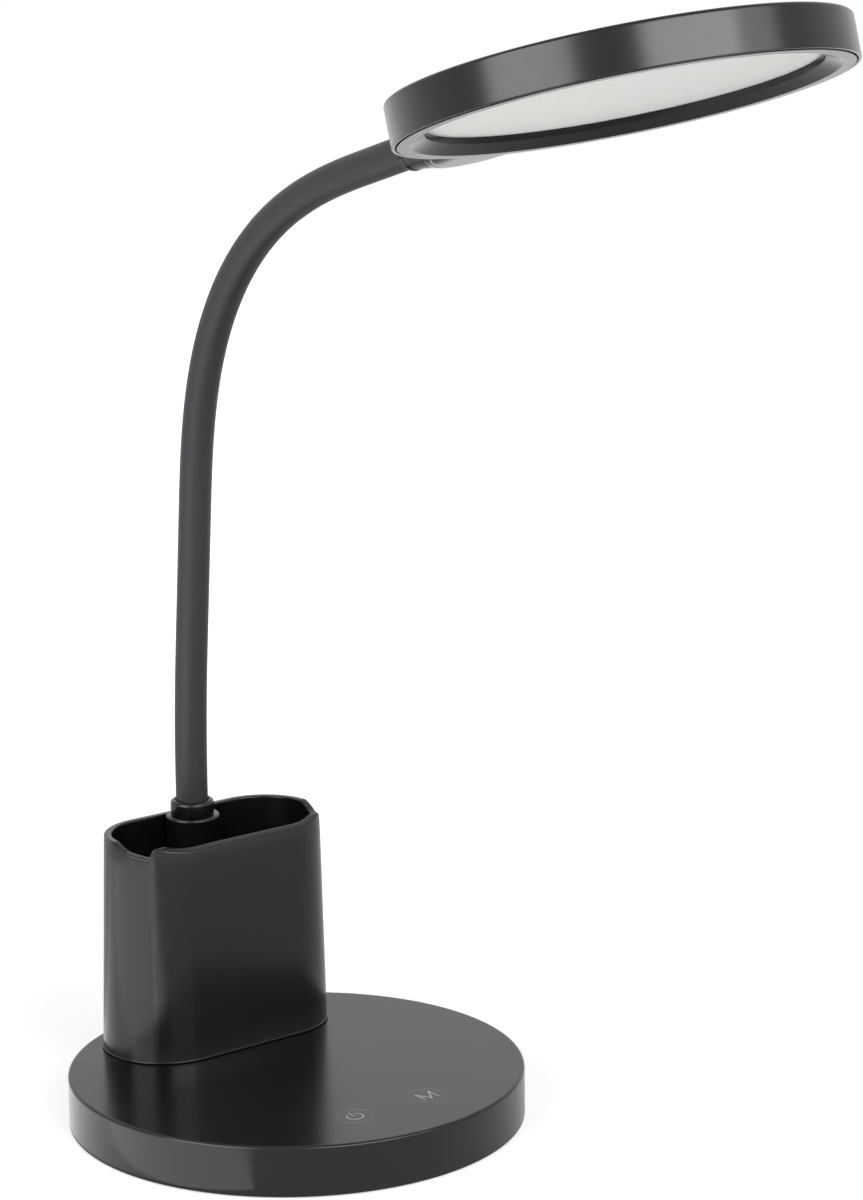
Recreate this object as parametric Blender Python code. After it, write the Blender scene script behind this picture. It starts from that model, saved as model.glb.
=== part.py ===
# Cordless LED table lamp: a round weighted base, a pen cup column with a phone groove,
# a sleeved gooseneck and a flat round lamp head.
# Units are metres. +Z is up, the lamp faces -Y, +X is the lamp's left-to-right.
# The origin is the middle of the rubber pad that the lamp stands on.

import math

import bmesh
import bpy
from mathutils import Matrix, Vector

# General clearances
SEAT_GAP = 0.0003
CUT_OVERRUN = 0.004
MERGE_DISTANCE = 0.000001
SMOOTH_DEG = 35.0

# Base
BASE_RADIUS = 0.0699
BASE_HEIGHT = 0.01595
BASE_WALL = 0.0022
BASE_EDGE_ROUND = 0.0009
SHELL_LIFT = 0.0005
PAD_THICK = 0.0012
PAD_INSET = 0.0014
FLOOR_THICK = 0.0018
BOSS_RADIUS = 0.0032
BOSS_INSET = 0.0097
BASE_SIDES = 60
BASE_SCREW_COUNT = 3

# Screws
SCREW_SHAFT_RADIUS = 0.0012
SCREW_HEAD_RADIUS = 0.0024
SCREW_HEAD_HEIGHT = 0.0010
SCREW_GRIP = 0.0050

# Ballast, battery and boards in the base
WEIGHT_CLEARANCE = 0.0023
WEIGHT_HEADROOM = 0.0042
WEIGHT_BOARD_GAP = 0.0112
BATTERY_RIM = 0.02805
BATTERY_DEPTH_SHARE = 0.68
BATTERY_HEADROOM = 0.0022
BATTERY_ROUND = 0.0012
BATTERY_Y = -0.0060
WINDOW_MARGIN = 0.0015
BOARD_WIDTH = 0.0360
BOARD_DEPTH = 0.0240
BOARD_THICK = 0.0012
BOARD_CORNER = 0.0015
BOARD_REST_HEIGHT = 0.0016
BOARD_REST_INSET = 0.0030
BOARD_BACK_GAP = 0.0030
CHIP_THICK = 0.0015

# Charging socket and its light, on the back of the base
SOCKET_WIDTH = 0.00894
SOCKET_HEIGHT = 0.00326
SOCKET_DEPTH = 0.0073
SOCKET_WALL = 0.00035
SOCKET_TONGUE_WIDTH = 0.0060
SOCKET_TONGUE_THICK = 0.0007
SOCKET_RECESS = 0.0004
LIGHT_RADIUS = 0.0010
LIGHT_OFFSET = 0.0090

# Touch keys on the base's top
KEY_X = 0.01355
KEY_INSET = 0.0229
KEY_RADIUS = 0.0058
KEY_THICK = 0.0007
SYMBOL_HEIGHT = 0.00015
POWER_RING_RADIUS = 0.0026
POWER_BAR_LENGTH = 0.0024
POWER_GAP_DEG = 70.0
SYMBOL_STROKE = 0.00045
MODE_WIDTH = 0.0055
MODE_HEIGHT = 0.0052
TOUCH_BOARD_WIDTH = 0.0440
TOUCH_BOARD_DEPTH = 0.0150
TOUCH_BOARD_THICK = 0.0010

# Column: a pen cup with a groove across its rim for a phone
COLUMN_HALF_RUN = 0.0187
COLUMN_FOOT_RADIUS = 0.01995
COLUMN_TOP_RADIUS = 0.01825
COLUMN_TOP_AHEAD = 0.0008
COLUMN_INSET = 0.02765
COLUMN_HEIGHT = 0.0688
COLUMN_WALL = 0.0024
COLUMN_FLOOR_THICK = 0.0080
COLUMN_LIP = 0.0003
COLUMN_LIP_HEIGHT = 0.0004
COLUMN_END_SIDES = 12
RIM_FRONT_DROP = 0.0023
GROOVE_LIP_AHEAD = 0.01385
GROOVE_LIP_ROUND = 0.0005
GROOVE_WALL_RUN = 0.0015
GROOVE_DEPTH = 0.0037
GROOVE_SEAT_RISE = 0.0014
GROOVE_SEAT_RUN = 0.0071
GROOVE_RAMP_RUN = 0.0070
PILLAR_LEDGE = 0.0017
NUT_POCKET_GAP = 0.0006
NECK_BRIDGE = 0.0180
COLUMN_SCREW_OFFSET = 0.0048

# Neck: a flexible gooseneck, split into stiff core links under a rubber sleeve
NECK_SETBACK = 0.01005
NECK_LENGTH = 0.2698
NECK_LEAN_DEG = 4.8
NECK_LEAN_SHARE = 0.2222
NECK_BEND_START_SHARE = 0.3613
NECK_BEND_END_SHARE = 0.9514
NECK_RADIUS = 0.0050
SLEEVE_WALL = 0.0009
BALL_RADIUS = 0.0028
STEM_RADIUS = 0.0019
SHOULDER_RISE = 0.0022
NECK_JOINTS = 12
CORE_SIDES = 12
SLEEVE_SIDES = 16
SLEEVE_STEPS = 3
PATH_STEPS = 48
LOWER_COLLAR_WALL = 0.0015
LOWER_COLLAR_HEIGHT = 0.0045
UPPER_COLLAR_STEP = 0.00115
UPPER_COLLAR_LENGTH = 0.0072
COLLAR_ROUND = 0.0012
WASHER_THICK = 0.0008
NUT_WALL = 0.0022
NUT_THICK = 0.0040
ANCHOR_TAIL = 0.0033

# Lamp head, in its own frame: +Z is the head's upper side, +Y points back to the neck
HEAD_TILT_DEG = 16.8
HEAD_TWIST_DEG = 0.48
HEAD_RADIUS = 0.06175
HEAD_HEIGHT = 0.0121
HEAD_WALL = 0.0018
HEAD_TOP_WALL = 0.0021
HEAD_RIM_WALL = 0.0009
HEAD_EDGE_ROUND = 0.0010
NECK_AXIS_HEIGHT = 0.0085
ARM_REACH = 0.03475
BEZEL_FLANGE = 0.0012
BEZEL_FLAT_WIDTH = 0.00375
BEZEL_CONE_RUN = 0.0042
BEZEL_CONE_RISE = 0.0023
BEZEL_LEDGE_WIDTH = 0.0016
BEZEL_LEDGE_RISE = 0.0005
BEZEL_HEIGHT = 0.0037
DIFFUSER_LAP = 0.0019
DIFFUSER_THICK = 0.0016
REFLECTOR_WALL = 0.0012
LED_BOARD_LAP = 0.0005
LED_BOARD_THICK = 0.0010
LED_WIDTH = 0.0030
LED_THICK = 0.0006
LED_EDGE = 0.0130
LED_RING_STEP = 0.0190
LED_OUTER_COUNT = 18
LED_INNER_COUNT = 10
LED_SCREW_COUNT = 2
LED_SCREW_SHARE = 0.5
HEAD_SIDES = 60
ARM_ROOT_HALF_WIDTH = 0.0125
ARM_NOSE_SHARE = 0.5
ARM_SIDES = 20
ARM_STEPS = 10
ARM_ROOT_EXPONENT = 7.0
ARM_TIP_EXPONENT = 2.0
ARM_BORE_DEPTH = 0.0100
SET_SCREW_INSET = 0.0050

# Leads held inside the lamp
LEAD_RADIUS = 0.0009
LEAD_HOLE_RADIUS = 0.0022
LEAD_STEPS = 10


# Small geometry helpers

def smooth_share(value):
    share = min(max(value, 0.0), 1.0)
    return share * share * (3.0 - 2.0 * share)


def blend(start, end, share):
    return start + (end - start) * share


def arc_points(centre_x, centre_y, radius, start_deg, end_deg, steps):
    points = []
    for i in range(steps + 1):
        angle = math.radians(blend(start_deg, end_deg, i / steps))
        points.append((centre_x + radius * math.cos(angle), centre_y + radius * math.sin(angle)))
    return points


def circle_outline(radius, sides, centre_x=0.0, centre_y=0.0):
    return arc_points(centre_x, centre_y, radius, 0.0, 360.0, sides)[:-1]


def stadium_outline(half_run, radius, end_sides, centre_y=0.0):
    right = arc_points(half_run, centre_y, radius, -90.0, 90.0, end_sides)
    left = arc_points(-half_run, centre_y, radius, 90.0, 270.0, end_sides)
    return right + left


def rectangle(width, depth, centre_x=0.0, centre_y=0.0):
    corners = ((-1, -1), (1, -1), (1, 1), (-1, 1))
    return [(centre_x + x * width / 2, centre_y + y * depth / 2) for x, y in corners]


def rounded_rectangle(width, depth, radius, corner_steps, centre_x=0.0, centre_y=0.0):
    points = []
    corners = ((1, 1, 0.0), (-1, 1, 90.0), (-1, -1, 180.0), (1, -1, 270.0))
    for side_x, side_y, start_deg in corners:
        corner_x = centre_x + side_x * (width / 2 - radius)
        corner_y = centre_y + side_y * (depth / 2 - radius)
        points += arc_points(corner_x, corner_y, radius, start_deg, start_deg + 90.0, corner_steps)
    return points


# Materials

MATERIALS = {}


def material(name, colour, roughness, metallic=0.0):
    if name not in MATERIALS:
        made = bpy.data.materials.new(name)
        made.use_nodes = True
        shader = made.node_tree.nodes["Principled BSDF"]
        shader.inputs["Base Color"].default_value = (*colour, 1.0)
        shader.inputs["Roughness"].default_value = roughness
        shader.inputs["Metallic"].default_value = metallic
        made.diffuse_color = (*colour, 1.0)
        MATERIALS[name] = made
    return MATERIALS[name]


def black_plastic():
    return material("black_plastic", (0.035, 0.035, 0.037), 0.45)


def sleeve_rubber():
    return material("sleeve_rubber", (0.045, 0.045, 0.052), 0.75)


def pad_rubber():
    return material("pad_rubber", (0.03, 0.03, 0.03), 0.85)


def steel():
    return material("steel", (0.55, 0.55, 0.56), 0.35, 1.0)


def ballast_iron():
    return material("ballast_iron", (0.22, 0.22, 0.23), 0.6, 1.0)


def board_green():
    return material("board_green", (0.03, 0.20, 0.10), 0.5)


def board_white():
    return material("board_white", (0.80, 0.80, 0.78), 0.5)


def foil_silver():
    return material("foil_silver", (0.60, 0.61, 0.63), 0.4, 0.8)


def frosted_white():
    return material("frosted_white", (0.86, 0.86, 0.84), 0.6)


def key_print():
    return material("key_print", (0.10, 0.10, 0.10), 0.4)


def lead_red():
    return material("lead_red", (0.45, 0.03, 0.03), 0.6)


# Making and placing objects

def place(obj, finish, parent=None, location=None, turn=None):
    obj.data.materials.clear()
    obj.data.materials.append(finish)
    if location is not None:
        obj.location = location
    if turn is not None:
        obj.rotation_euler = turn
    if parent is not None:
        obj.parent = parent
    return obj


def mesh_object(name, bm):
    bmesh.ops.remove_doubles(bm, verts=bm.verts, dist=MERGE_DISTANCE)
    bmesh.ops.recalc_face_normals(bm, faces=bm.faces)
    mesh = bpy.data.meshes.new(name)
    bm.to_mesh(mesh)
    bm.free()
    mesh.shade_smooth()
    mesh.set_sharp_from_angle(angle=math.radians(SMOOTH_DEG))
    obj = bpy.data.objects.new(name, mesh)
    bpy.context.scene.collection.objects.link(obj)
    return obj


def guide(obj, parent=None):
    obj.hide_render = True
    obj.display_type = "WIRE"
    if parent is not None:
        obj.parent = parent
    return obj


def empty(name, matrix, parent=None):
    made = bpy.data.objects.new(name, None)
    made.empty_display_size = NECK_RADIUS
    bpy.context.scene.collection.objects.link(made)
    if parent is not None:
        made.parent = parent
        made.matrix_basis = parent.matrix_world.inverted() @ matrix
    else:
        made.matrix_basis = matrix
    bpy.context.view_layer.update()
    return made


def boolean(target, tool, operation="DIFFERENCE"):
    change = target.modifiers.new(tool.name, "BOOLEAN")
    change.object = tool
    change.operation = operation
    change.solver = "EXACT"
    return target


def add_turned(bm, profile, sides, matrix=None):
    made = [bm.verts.new((radius, 0.0, height)) for radius, height in profile]
    edges = [bm.edges.new(pair) for pair in zip(made, made[1:])]
    if profile[0][0] > 0.0:
        edges.append(bm.edges.new((made[-1], made[0])))
    before = set(bm.verts) - set(made)
    bmesh.ops.spin(bm, geom=made + edges, cent=(0, 0, 0), axis=(0, 0, 1),
                   angle=math.tau, steps=sides, use_merge=True)
    if matrix is not None:
        spun = [vert for vert in bm.verts if vert not in before]
        bmesh.ops.transform(bm, matrix=matrix, verts=spun)


def turned(name, profile, sides):
    bm = bmesh.new()
    add_turned(bm, profile, sides)
    return mesh_object(name, bm)


def add_prism(bm, outline, low, high, matrix=None):
    corners = [bm.verts.new((x, y, low)) for x, y in outline]
    floor = bm.faces.new(corners)
    raised = bmesh.ops.extrude_face_region(bm, geom=[floor])["geom"]
    top = [item for item in raised if isinstance(item, bmesh.types.BMVert)]
    bmesh.ops.translate(bm, vec=(0.0, 0.0, high - low), verts=top)
    if matrix is not None:
        bmesh.ops.transform(bm, matrix=matrix, verts=corners + top)


def prism(name, outline, low, high, matrix=None):
    bm = bmesh.new()
    add_prism(bm, outline, low, high, matrix)
    return mesh_object(name, bm)


def lofted(name, rings):
    bm = bmesh.new()
    loops = [[bm.verts.new(point) for point in ring] for ring in rings]
    for lower, upper in zip(loops, loops[1:]):
        for i in range(len(lower)):
            j = (i + 1) % len(lower)
            bm.faces.new((lower[i], lower[j], upper[j], upper[i]))
    bm.faces.new(list(reversed(loops[0])))
    bm.faces.new(loops[-1])
    return mesh_object(name, bm)


def screw_profile(grip):
    return [
        (0.0, -SCREW_HEAD_HEIGHT),
        (SCREW_HEAD_RADIUS * 0.8, -SCREW_HEAD_HEIGHT),
        (SCREW_HEAD_RADIUS, -SCREW_HEAD_HEIGHT * 0.6),
        (SCREW_HEAD_RADIUS, 0.0),
        (SCREW_SHAFT_RADIUS, 0.0),
        (SCREW_SHAFT_RADIUS, grip - SCREW_SHAFT_RADIUS),
        (0.0, grip),
    ]


def screws(name, places, grip, size_share=1.0, sides=10, parent=None):
    # The screws of a group share one mesh; each is an object of its own.
    first = turned(f"{name}_1", [(r * size_share, z) for r, z in screw_profile(grip)], sides)
    place(first, steel(), parent, places[0])
    for i, place_at in enumerate(places[1:], start=2):
        copy = bpy.data.objects.new(f"{name}_{i}", first.data)
        bpy.context.scene.collection.objects.link(copy)
        copy.location = place_at
        copy.parent = parent


def ring_profile(inner, outer, low, high):
    return [(inner, low), (outer, low), (outer, high), (inner, high)]


def lead(name, route, finish, parent=None):
    points = smooth_route([Vector(point) for point in route])
    curve = bpy.data.curves.new(name, "CURVE")
    curve.dimensions = "3D"
    curve.bevel_depth = LEAD_RADIUS
    curve.bevel_resolution = 1
    curve.use_fill_caps = True
    spline = curve.splines.new("POLY")
    spline.points.add(len(points) - 1)
    for slot, point in zip(spline.points, points):
        slot.co = (*point, 1.0)
    obj = bpy.data.objects.new(name, curve)
    bpy.context.scene.collection.objects.link(obj)
    return place(obj, finish, parent)


def smooth_route(points):
    route = []
    for i in range(len(points) - 1):
        before = points[max(i - 1, 0)]
        start, end = points[i], points[i + 1]
        after = points[min(i + 2, len(points) - 1)]
        for step in range(LEAD_STEPS // 2):
            share = step / (LEAD_STEPS // 2)
            route.append(catmull_point(before, start, end, after, share))
    return route + [points[-1]]


def catmull_point(before, start, end, after, share):
    pull_start = (end - before) / 2
    pull_end = (after - start) / 2
    square = share * share
    cube = square * share
    return (start * (2 * cube - 3 * square + 1) + pull_start * (cube - 2 * square + share)
            + end * (3 * square - 2 * cube) + pull_end * (cube - square))


# Levels and places in the base, worked up from the table and in from its edge

FLOOR_LOW = PAD_THICK + SEAT_GAP
FLOOR_TOP = FLOOR_LOW + FLOOR_THICK
SHELL_CEILING = BASE_HEIGHT - BASE_WALL
SHELL_INNER_RADIUS = BASE_RADIUS - BASE_WALL
FLOOR_RADIUS = SHELL_INNER_RADIUS - SEAT_GAP
BOSS_RING_RADIUS = SHELL_INNER_RADIUS - BOSS_INSET
BOARD_LOW = FLOOR_TOP + BOARD_REST_HEIGHT + SEAT_GAP
BOARD_TOP = BOARD_LOW + BOARD_THICK
BOARD_MIDDLE_Y = SHELL_INNER_RADIUS - BOARD_BACK_GAP - BOARD_DEPTH / 2
BOARD_FRONT_Y = BOARD_MIDDLE_Y - BOARD_DEPTH / 2
SOCKET_MIDDLE_Z = BOARD_TOP + SEAT_GAP + SOCKET_HEIGHT / 2
SOCKET_BACK_Y = math.sqrt(BASE_RADIUS ** 2 - (SOCKET_WIDTH / 2) ** 2) - SOCKET_RECESS
WEIGHT_RADIUS = BOSS_RING_RADIUS - BOSS_RADIUS - WEIGHT_CLEARANCE
WEIGHT_THICK = SHELL_CEILING - FLOOR_TOP - WEIGHT_HEADROOM
WEIGHT_BACK_Y = BOARD_FRONT_Y - WEIGHT_BOARD_GAP
BATTERY_WIDTH = 2 * (WEIGHT_RADIUS - BATTERY_RIM)
BATTERY_DEPTH = BATTERY_WIDTH * BATTERY_DEPTH_SHARE
BATTERY_THICK = SHELL_CEILING - FLOOR_TOP - BATTERY_HEADROOM
KEY_Y = KEY_INSET - BASE_RADIUS

# Places on the column

COLUMN_Y = BASE_RADIUS - COLUMN_INSET
COLUMN_LOW = BASE_HEIGHT + SEAT_GAP
COLUMN_TOP_Z = BASE_HEIGHT + COLUMN_HEIGHT
COLUMN_SCREW_X = COLUMN_HALF_RUN + COLUMN_SCREW_OFFSET
CUP_FLOOR_Z = COLUMN_LOW + COLUMN_FLOOR_THICK
GROOVE_LIP_Y = COLUMN_Y - GROOVE_LIP_AHEAD
GROOVE_FLOOR_Y = GROOVE_LIP_Y + GROOVE_WALL_RUN
GROOVE_BACK_Y = GROOVE_FLOOR_Y + GROOVE_SEAT_RUN + GROOVE_RAMP_RUN

# Sizes of the neck and what holds it

NECK_ROOT_Y = COLUMN_Y + NECK_SETBACK
SLEEVE_START_Z = COLUMN_TOP_Z + SEAT_GAP
CORE_RADIUS = NECK_RADIUS - SLEEVE_WALL - SEAT_GAP
LOWER_COLLAR_RADIUS = NECK_RADIUS + SEAT_GAP + LOWER_COLLAR_WALL
UPPER_COLLAR_RADIUS = NECK_RADIUS + UPPER_COLLAR_STEP
PILLAR_RADIUS = LOWER_COLLAR_RADIUS + PILLAR_LEDGE
NUT_RADIUS = CORE_RADIUS + NUT_WALL
NUT_POCKET_RADIUS = NUT_RADIUS + NUT_POCKET_GAP
NUT_POCKET_TOP_Z = COLUMN_TOP_Z - NECK_BRIDGE
ANCHOR_DROP = NECK_BRIDGE + 3 * SEAT_GAP + WASHER_THICK + NUT_THICK + ANCHOR_TAIL


def boss_places():
    return [(x, -y) for y, x in circle_outline(BOSS_RING_RADIUS, BASE_SCREW_COUNT)]


def column_screw_places():
    return [(side * COLUMN_SCREW_X, COLUMN_Y) for side in (-1, 1)]


def key_places():
    return {"power_key": (-KEY_X, KEY_Y), "mode_key": (KEY_X, KEY_Y)}


# Base pieces

def base_shell():
    edge = arc_points(BASE_RADIUS - BASE_EDGE_ROUND, BASE_HEIGHT - BASE_EDGE_ROUND,
                      BASE_EDGE_ROUND, 90.0, 0.0, 3)
    profile = [(0.0, BASE_HEIGHT)] + edge + [
        (BASE_RADIUS, SHELL_LIFT),
        (SHELL_INNER_RADIUS, SHELL_LIFT),
        (SHELL_INNER_RADIUS, SHELL_CEILING),
        (0.0, SHELL_CEILING),
    ]
    shell = turned("base_shell", profile, BASE_SIDES)
    bosses = bmesh.new()
    holes = bmesh.new()
    boss_low = FLOOR_TOP + SEAT_GAP
    boss_top = SHELL_CEILING + BASE_WALL / 2
    for x, y in boss_places():
        add_prism(bosses, circle_outline(BOSS_RADIUS, 14, x, y), boss_low, boss_top)
        pilot = circle_outline(SCREW_SHAFT_RADIUS + SEAT_GAP, 10, x, y)
        add_prism(holes, pilot, boss_low - CUT_OVERRUN / 2, SHELL_CEILING - SEAT_GAP)
    for x, y in column_screw_places():
        shaft = circle_outline(SCREW_SHAFT_RADIUS + SEAT_GAP, 10, x, y)
        add_prism(holes, shaft, SHELL_CEILING - SEAT_GAP, BASE_HEIGHT + CUT_OVERRUN)
    lead_hole = circle_outline(LEAD_HOLE_RADIUS, 12, 0.0, NECK_ROOT_Y)
    add_prism(holes, lead_hole, SHELL_CEILING - SEAT_GAP, BASE_HEIGHT + CUT_OVERRUN)
    for x, y in key_places().values():
        pocket = circle_outline(KEY_RADIUS + SEAT_GAP, 24, x, y)
        add_prism(holes, pocket, BASE_HEIGHT - KEY_THICK - SEAT_GAP, BASE_HEIGHT + CUT_OVERRUN)
    boolean(shell, guide(mesh_object("base_boss_tool", bosses)), "UNION")
    boolean(shell, guide(mesh_object("base_hole_tool", holes)))
    boolean(shell, guide(side_hole_tool()))
    return place(shell, black_plastic())


def side_hole_tool():
    to_back = Matrix.Translation((0.0, 0.0, SOCKET_MIDDLE_Z)) @ Matrix.Rotation(math.radians(-90.0), 4, "X")
    bm = bmesh.new()
    mouth = rounded_rectangle(SOCKET_WIDTH + 2 * SEAT_GAP, SOCKET_HEIGHT + 2 * SEAT_GAP,
                              SOCKET_HEIGHT / 2, 4)
    start = SHELL_INNER_RADIUS - CUT_OVERRUN
    end = BASE_RADIUS + CUT_OVERRUN
    add_prism(bm, mouth, start, end, to_back)
    light_mouth = circle_outline(LIGHT_RADIUS + SEAT_GAP, 12, LIGHT_OFFSET, 0.0)
    add_prism(bm, light_mouth, start, end, to_back)
    return mesh_object("base_side_hole_tool", bm)


def base_floor():
    sides = BASE_SIDES * 2 // 3
    floor = prism("base_floor", circle_outline(FLOOR_RADIUS, sides), FLOOR_LOW, FLOOR_TOP)
    rest = rounded_rectangle(BOARD_WIDTH - 2 * BOARD_REST_INSET, BOARD_DEPTH - 2 * BOARD_REST_INSET,
                             BOARD_CORNER, 2, 0.0, BOARD_MIDDLE_Y)
    rest_tool = prism("board_rest_tool", rest, FLOOR_LOW + FLOOR_THICK / 2, FLOOR_TOP + BOARD_REST_HEIGHT)
    boolean(floor, guide(rest_tool), "UNION")
    holes = bmesh.new()
    for x, y in boss_places():
        shaft = circle_outline(SCREW_SHAFT_RADIUS + SEAT_GAP, 10, x, y)
        add_prism(holes, shaft, FLOOR_LOW - CUT_OVERRUN, FLOOR_TOP + CUT_OVERRUN)
    boolean(floor, guide(mesh_object("floor_hole_tool", holes)))
    sinks = bmesh.new()
    for x, y in boss_places():
        sink = circle_outline(SCREW_HEAD_RADIUS + SEAT_GAP, 14, x, y)
        add_prism(sinks, sink, FLOOR_LOW - CUT_OVERRUN, FLOOR_LOW + SCREW_HEAD_HEIGHT + SEAT_GAP)
    boolean(floor, guide(mesh_object("floor_sink_tool", sinks)))
    return place(floor, black_plastic())


def foot_pad():
    radius = FLOOR_RADIUS - PAD_INSET
    pad = prism("foot_pad", circle_outline(radius, BASE_SIDES * 2 // 3), 0.0, PAD_THICK)
    return place(pad, pad_rubber())


def base_screws():
    head_top = FLOOR_LOW + SCREW_HEAD_HEIGHT
    screws("base_screw", [(x, y, head_top) for x, y in boss_places()], SCREW_GRIP)


def base_weight():
    low = FLOOR_TOP + SEAT_GAP
    start = math.asin(WEIGHT_BACK_Y / WEIGHT_RADIUS)
    outline = arc_points(0.0, 0.0, WEIGHT_RADIUS, 180.0 - math.degrees(start),
                         360.0 + math.degrees(start), 40)
    weight = prism("base_weight", outline, low, low + WEIGHT_THICK)
    window = rounded_rectangle(BATTERY_WIDTH + 2 * WINDOW_MARGIN, BATTERY_DEPTH + 2 * WINDOW_MARGIN,
                               BATTERY_ROUND, 2, 0.0, BATTERY_Y)
    tool = prism("weight_window_tool", window, low - CUT_OVERRUN, low + WEIGHT_THICK + CUT_OVERRUN)
    boolean(weight, guide(tool))
    return place(weight, ballast_iron())


def battery_cell():
    low = FLOOR_TOP + SEAT_GAP
    levels = ((0.0, BATTERY_ROUND), (BATTERY_ROUND, 0.0))
    rings = []
    for height, inset in levels + tuple((BATTERY_THICK - h, i) for h, i in reversed(levels)):
        outline = rounded_rectangle(BATTERY_WIDTH - 2 * inset, BATTERY_DEPTH - inset,
                                    BATTERY_ROUND, 2, 0.0, BATTERY_Y)
        rings.append([(x, y, low + height) for x, y in outline])
    return place(lofted("battery_cell", rings), foil_silver())


def control_board():
    outline = rounded_rectangle(BOARD_WIDTH, BOARD_DEPTH, BOARD_CORNER, 2, 0.0, BOARD_MIDDLE_Y)
    board = prism("control_board", outline, BOARD_LOW, BOARD_TOP)
    low = BOARD_TOP - BOARD_THICK / 2
    bm = bmesh.new()
    chip_shares = ((-0.32, -0.20, 0.15, 0.20), (0.0, -0.25, 0.10, 0.16), (0.30, -0.18, 0.18, 0.28),
                   (-0.36, 0.22, 0.08, 0.14))
    for x_share, y_share, width_share, depth_share in chip_shares:
        outline = rectangle(BOARD_WIDTH * width_share, BOARD_DEPTH * depth_share,
                            BOARD_WIDTH * x_share, BOARD_MIDDLE_Y + BOARD_DEPTH * y_share)
        add_prism(bm, outline, low, BOARD_TOP + CHIP_THICK)
    boolean(board, guide(mesh_object("board_chip_tool", bm)), "UNION")
    return place(board, board_green())


def charge_socket():
    front = SOCKET_BACK_Y - SOCKET_DEPTH
    upright = Matrix.Translation((0.0, 0.0, SOCKET_MIDDLE_Z)) @ Matrix.Rotation(math.radians(-90.0), 4, "X")
    outer = rounded_rectangle(SOCKET_WIDTH, SOCKET_HEIGHT, SOCKET_HEIGHT / 2 - SOCKET_WALL, 4)
    socket = prism("charge_socket", outer, front, SOCKET_BACK_Y, upright)
    inner = rounded_rectangle(SOCKET_WIDTH - 2 * SOCKET_WALL, SOCKET_HEIGHT - 2 * SOCKET_WALL,
                              SOCKET_HEIGHT / 2 - 2 * SOCKET_WALL, 4)
    tongue = rounded_rectangle(SOCKET_TONGUE_WIDTH, SOCKET_TONGUE_THICK, SOCKET_TONGUE_THICK / 3, 1)
    bm = bmesh.new()
    add_prism(bm, inner, front + 2 * SOCKET_WALL, SOCKET_BACK_Y + CUT_OVERRUN, upright)
    hollow = guide(mesh_object("socket_hollow_tool", bm))
    blade = prism("socket_tongue_tool", tongue, front + SOCKET_WALL, SOCKET_BACK_Y - 2 * SOCKET_WALL, upright)
    boolean(socket, hollow)
    boolean(socket, guide(blade), "UNION")
    return place(socket, steel())


def charge_light():
    upright = Matrix.Translation((0.0, 0.0, SOCKET_MIDDLE_Z)) @ Matrix.Rotation(math.radians(-90.0), 4, "X")
    outline = circle_outline(LIGHT_RADIUS, 12, LIGHT_OFFSET, 0.0)
    end = math.sqrt(BASE_RADIUS ** 2 - (LIGHT_OFFSET + LIGHT_RADIUS) ** 2)
    pipe = prism("charge_light", outline, end - SOCKET_DEPTH, end, upright)
    return place(pipe, frosted_white())


def touch_board():
    top = SHELL_CEILING - SEAT_GAP
    outline = rounded_rectangle(TOUCH_BOARD_WIDTH, TOUCH_BOARD_DEPTH, BOARD_CORNER, 2, 0.0, KEY_Y)
    return place(prism("touch_board", outline, top - TOUCH_BOARD_THICK, top), board_green())


def key_disc(name):
    x, y = key_places()[name]
    low = BASE_HEIGHT - KEY_THICK
    disc = prism(name, circle_outline(KEY_RADIUS, 24), low, BASE_HEIGHT)
    disc.location = (x, y, 0.0)
    return disc


def power_key():
    disc = key_disc("power_key")
    half_gap = POWER_GAP_DEG / 2
    outer = arc_points(0.0, 0.0, POWER_RING_RADIUS, 90.0 + half_gap, 450.0 - half_gap, 20)
    inner = arc_points(0.0, 0.0, POWER_RING_RADIUS - SYMBOL_STROKE, 450.0 - half_gap, 90.0 + half_gap, 20)
    bar_low = POWER_RING_RADIUS + SYMBOL_STROKE - POWER_BAR_LENGTH
    bar = rounded_rectangle(SYMBOL_STROKE, POWER_BAR_LENGTH, SYMBOL_STROKE / 3, 2,
                            0.0, bar_low + POWER_BAR_LENGTH / 2)
    bm = bmesh.new()
    low = BASE_HEIGHT - KEY_THICK / 2
    add_prism(bm, outer + inner, low, BASE_HEIGHT + SYMBOL_HEIGHT)
    add_prism(bm, bar, low, BASE_HEIGHT + SYMBOL_HEIGHT)
    boolean(disc, guide(mesh_object("power_symbol_tool", bm), disc), "UNION")
    return place(disc, key_print())


def mode_key():
    disc = key_disc("mode_key")
    half_width, half_height, stroke = MODE_WIDTH / 2, MODE_HEIGHT / 2, SYMBOL_STROKE
    right = [(half_width - stroke * 1.1, half_height), (half_width, half_height),
             (half_width, -half_height), (half_width - stroke, -half_height),
             (half_width - stroke, half_height - stroke * 1.9), (stroke * 0.45, -half_height)]
    left = [(-x, y) for x, y in reversed(right)]
    outline = [(0.0, -half_height + stroke * 1.6)] + right + left
    low = BASE_HEIGHT - KEY_THICK / 2
    tool = prism("mode_symbol_tool", outline, low, BASE_HEIGHT + SYMBOL_HEIGHT)
    boolean(disc, guide(tool, disc), "UNION")
    return place(disc, key_print())


# Column pieces

def column_ring(height, offset=0.0):
    share = (height - COLUMN_LOW) / (COLUMN_TOP_Z - COLUMN_LOW)
    radius = blend(COLUMN_FOOT_RADIUS, COLUMN_TOP_RADIUS, share) + offset
    middle_y = COLUMN_Y - COLUMN_TOP_AHEAD * share
    return [(x, y, height) for x, y in stadium_outline(COLUMN_HALF_RUN, radius, COLUMN_END_SIDES, middle_y)]


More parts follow.
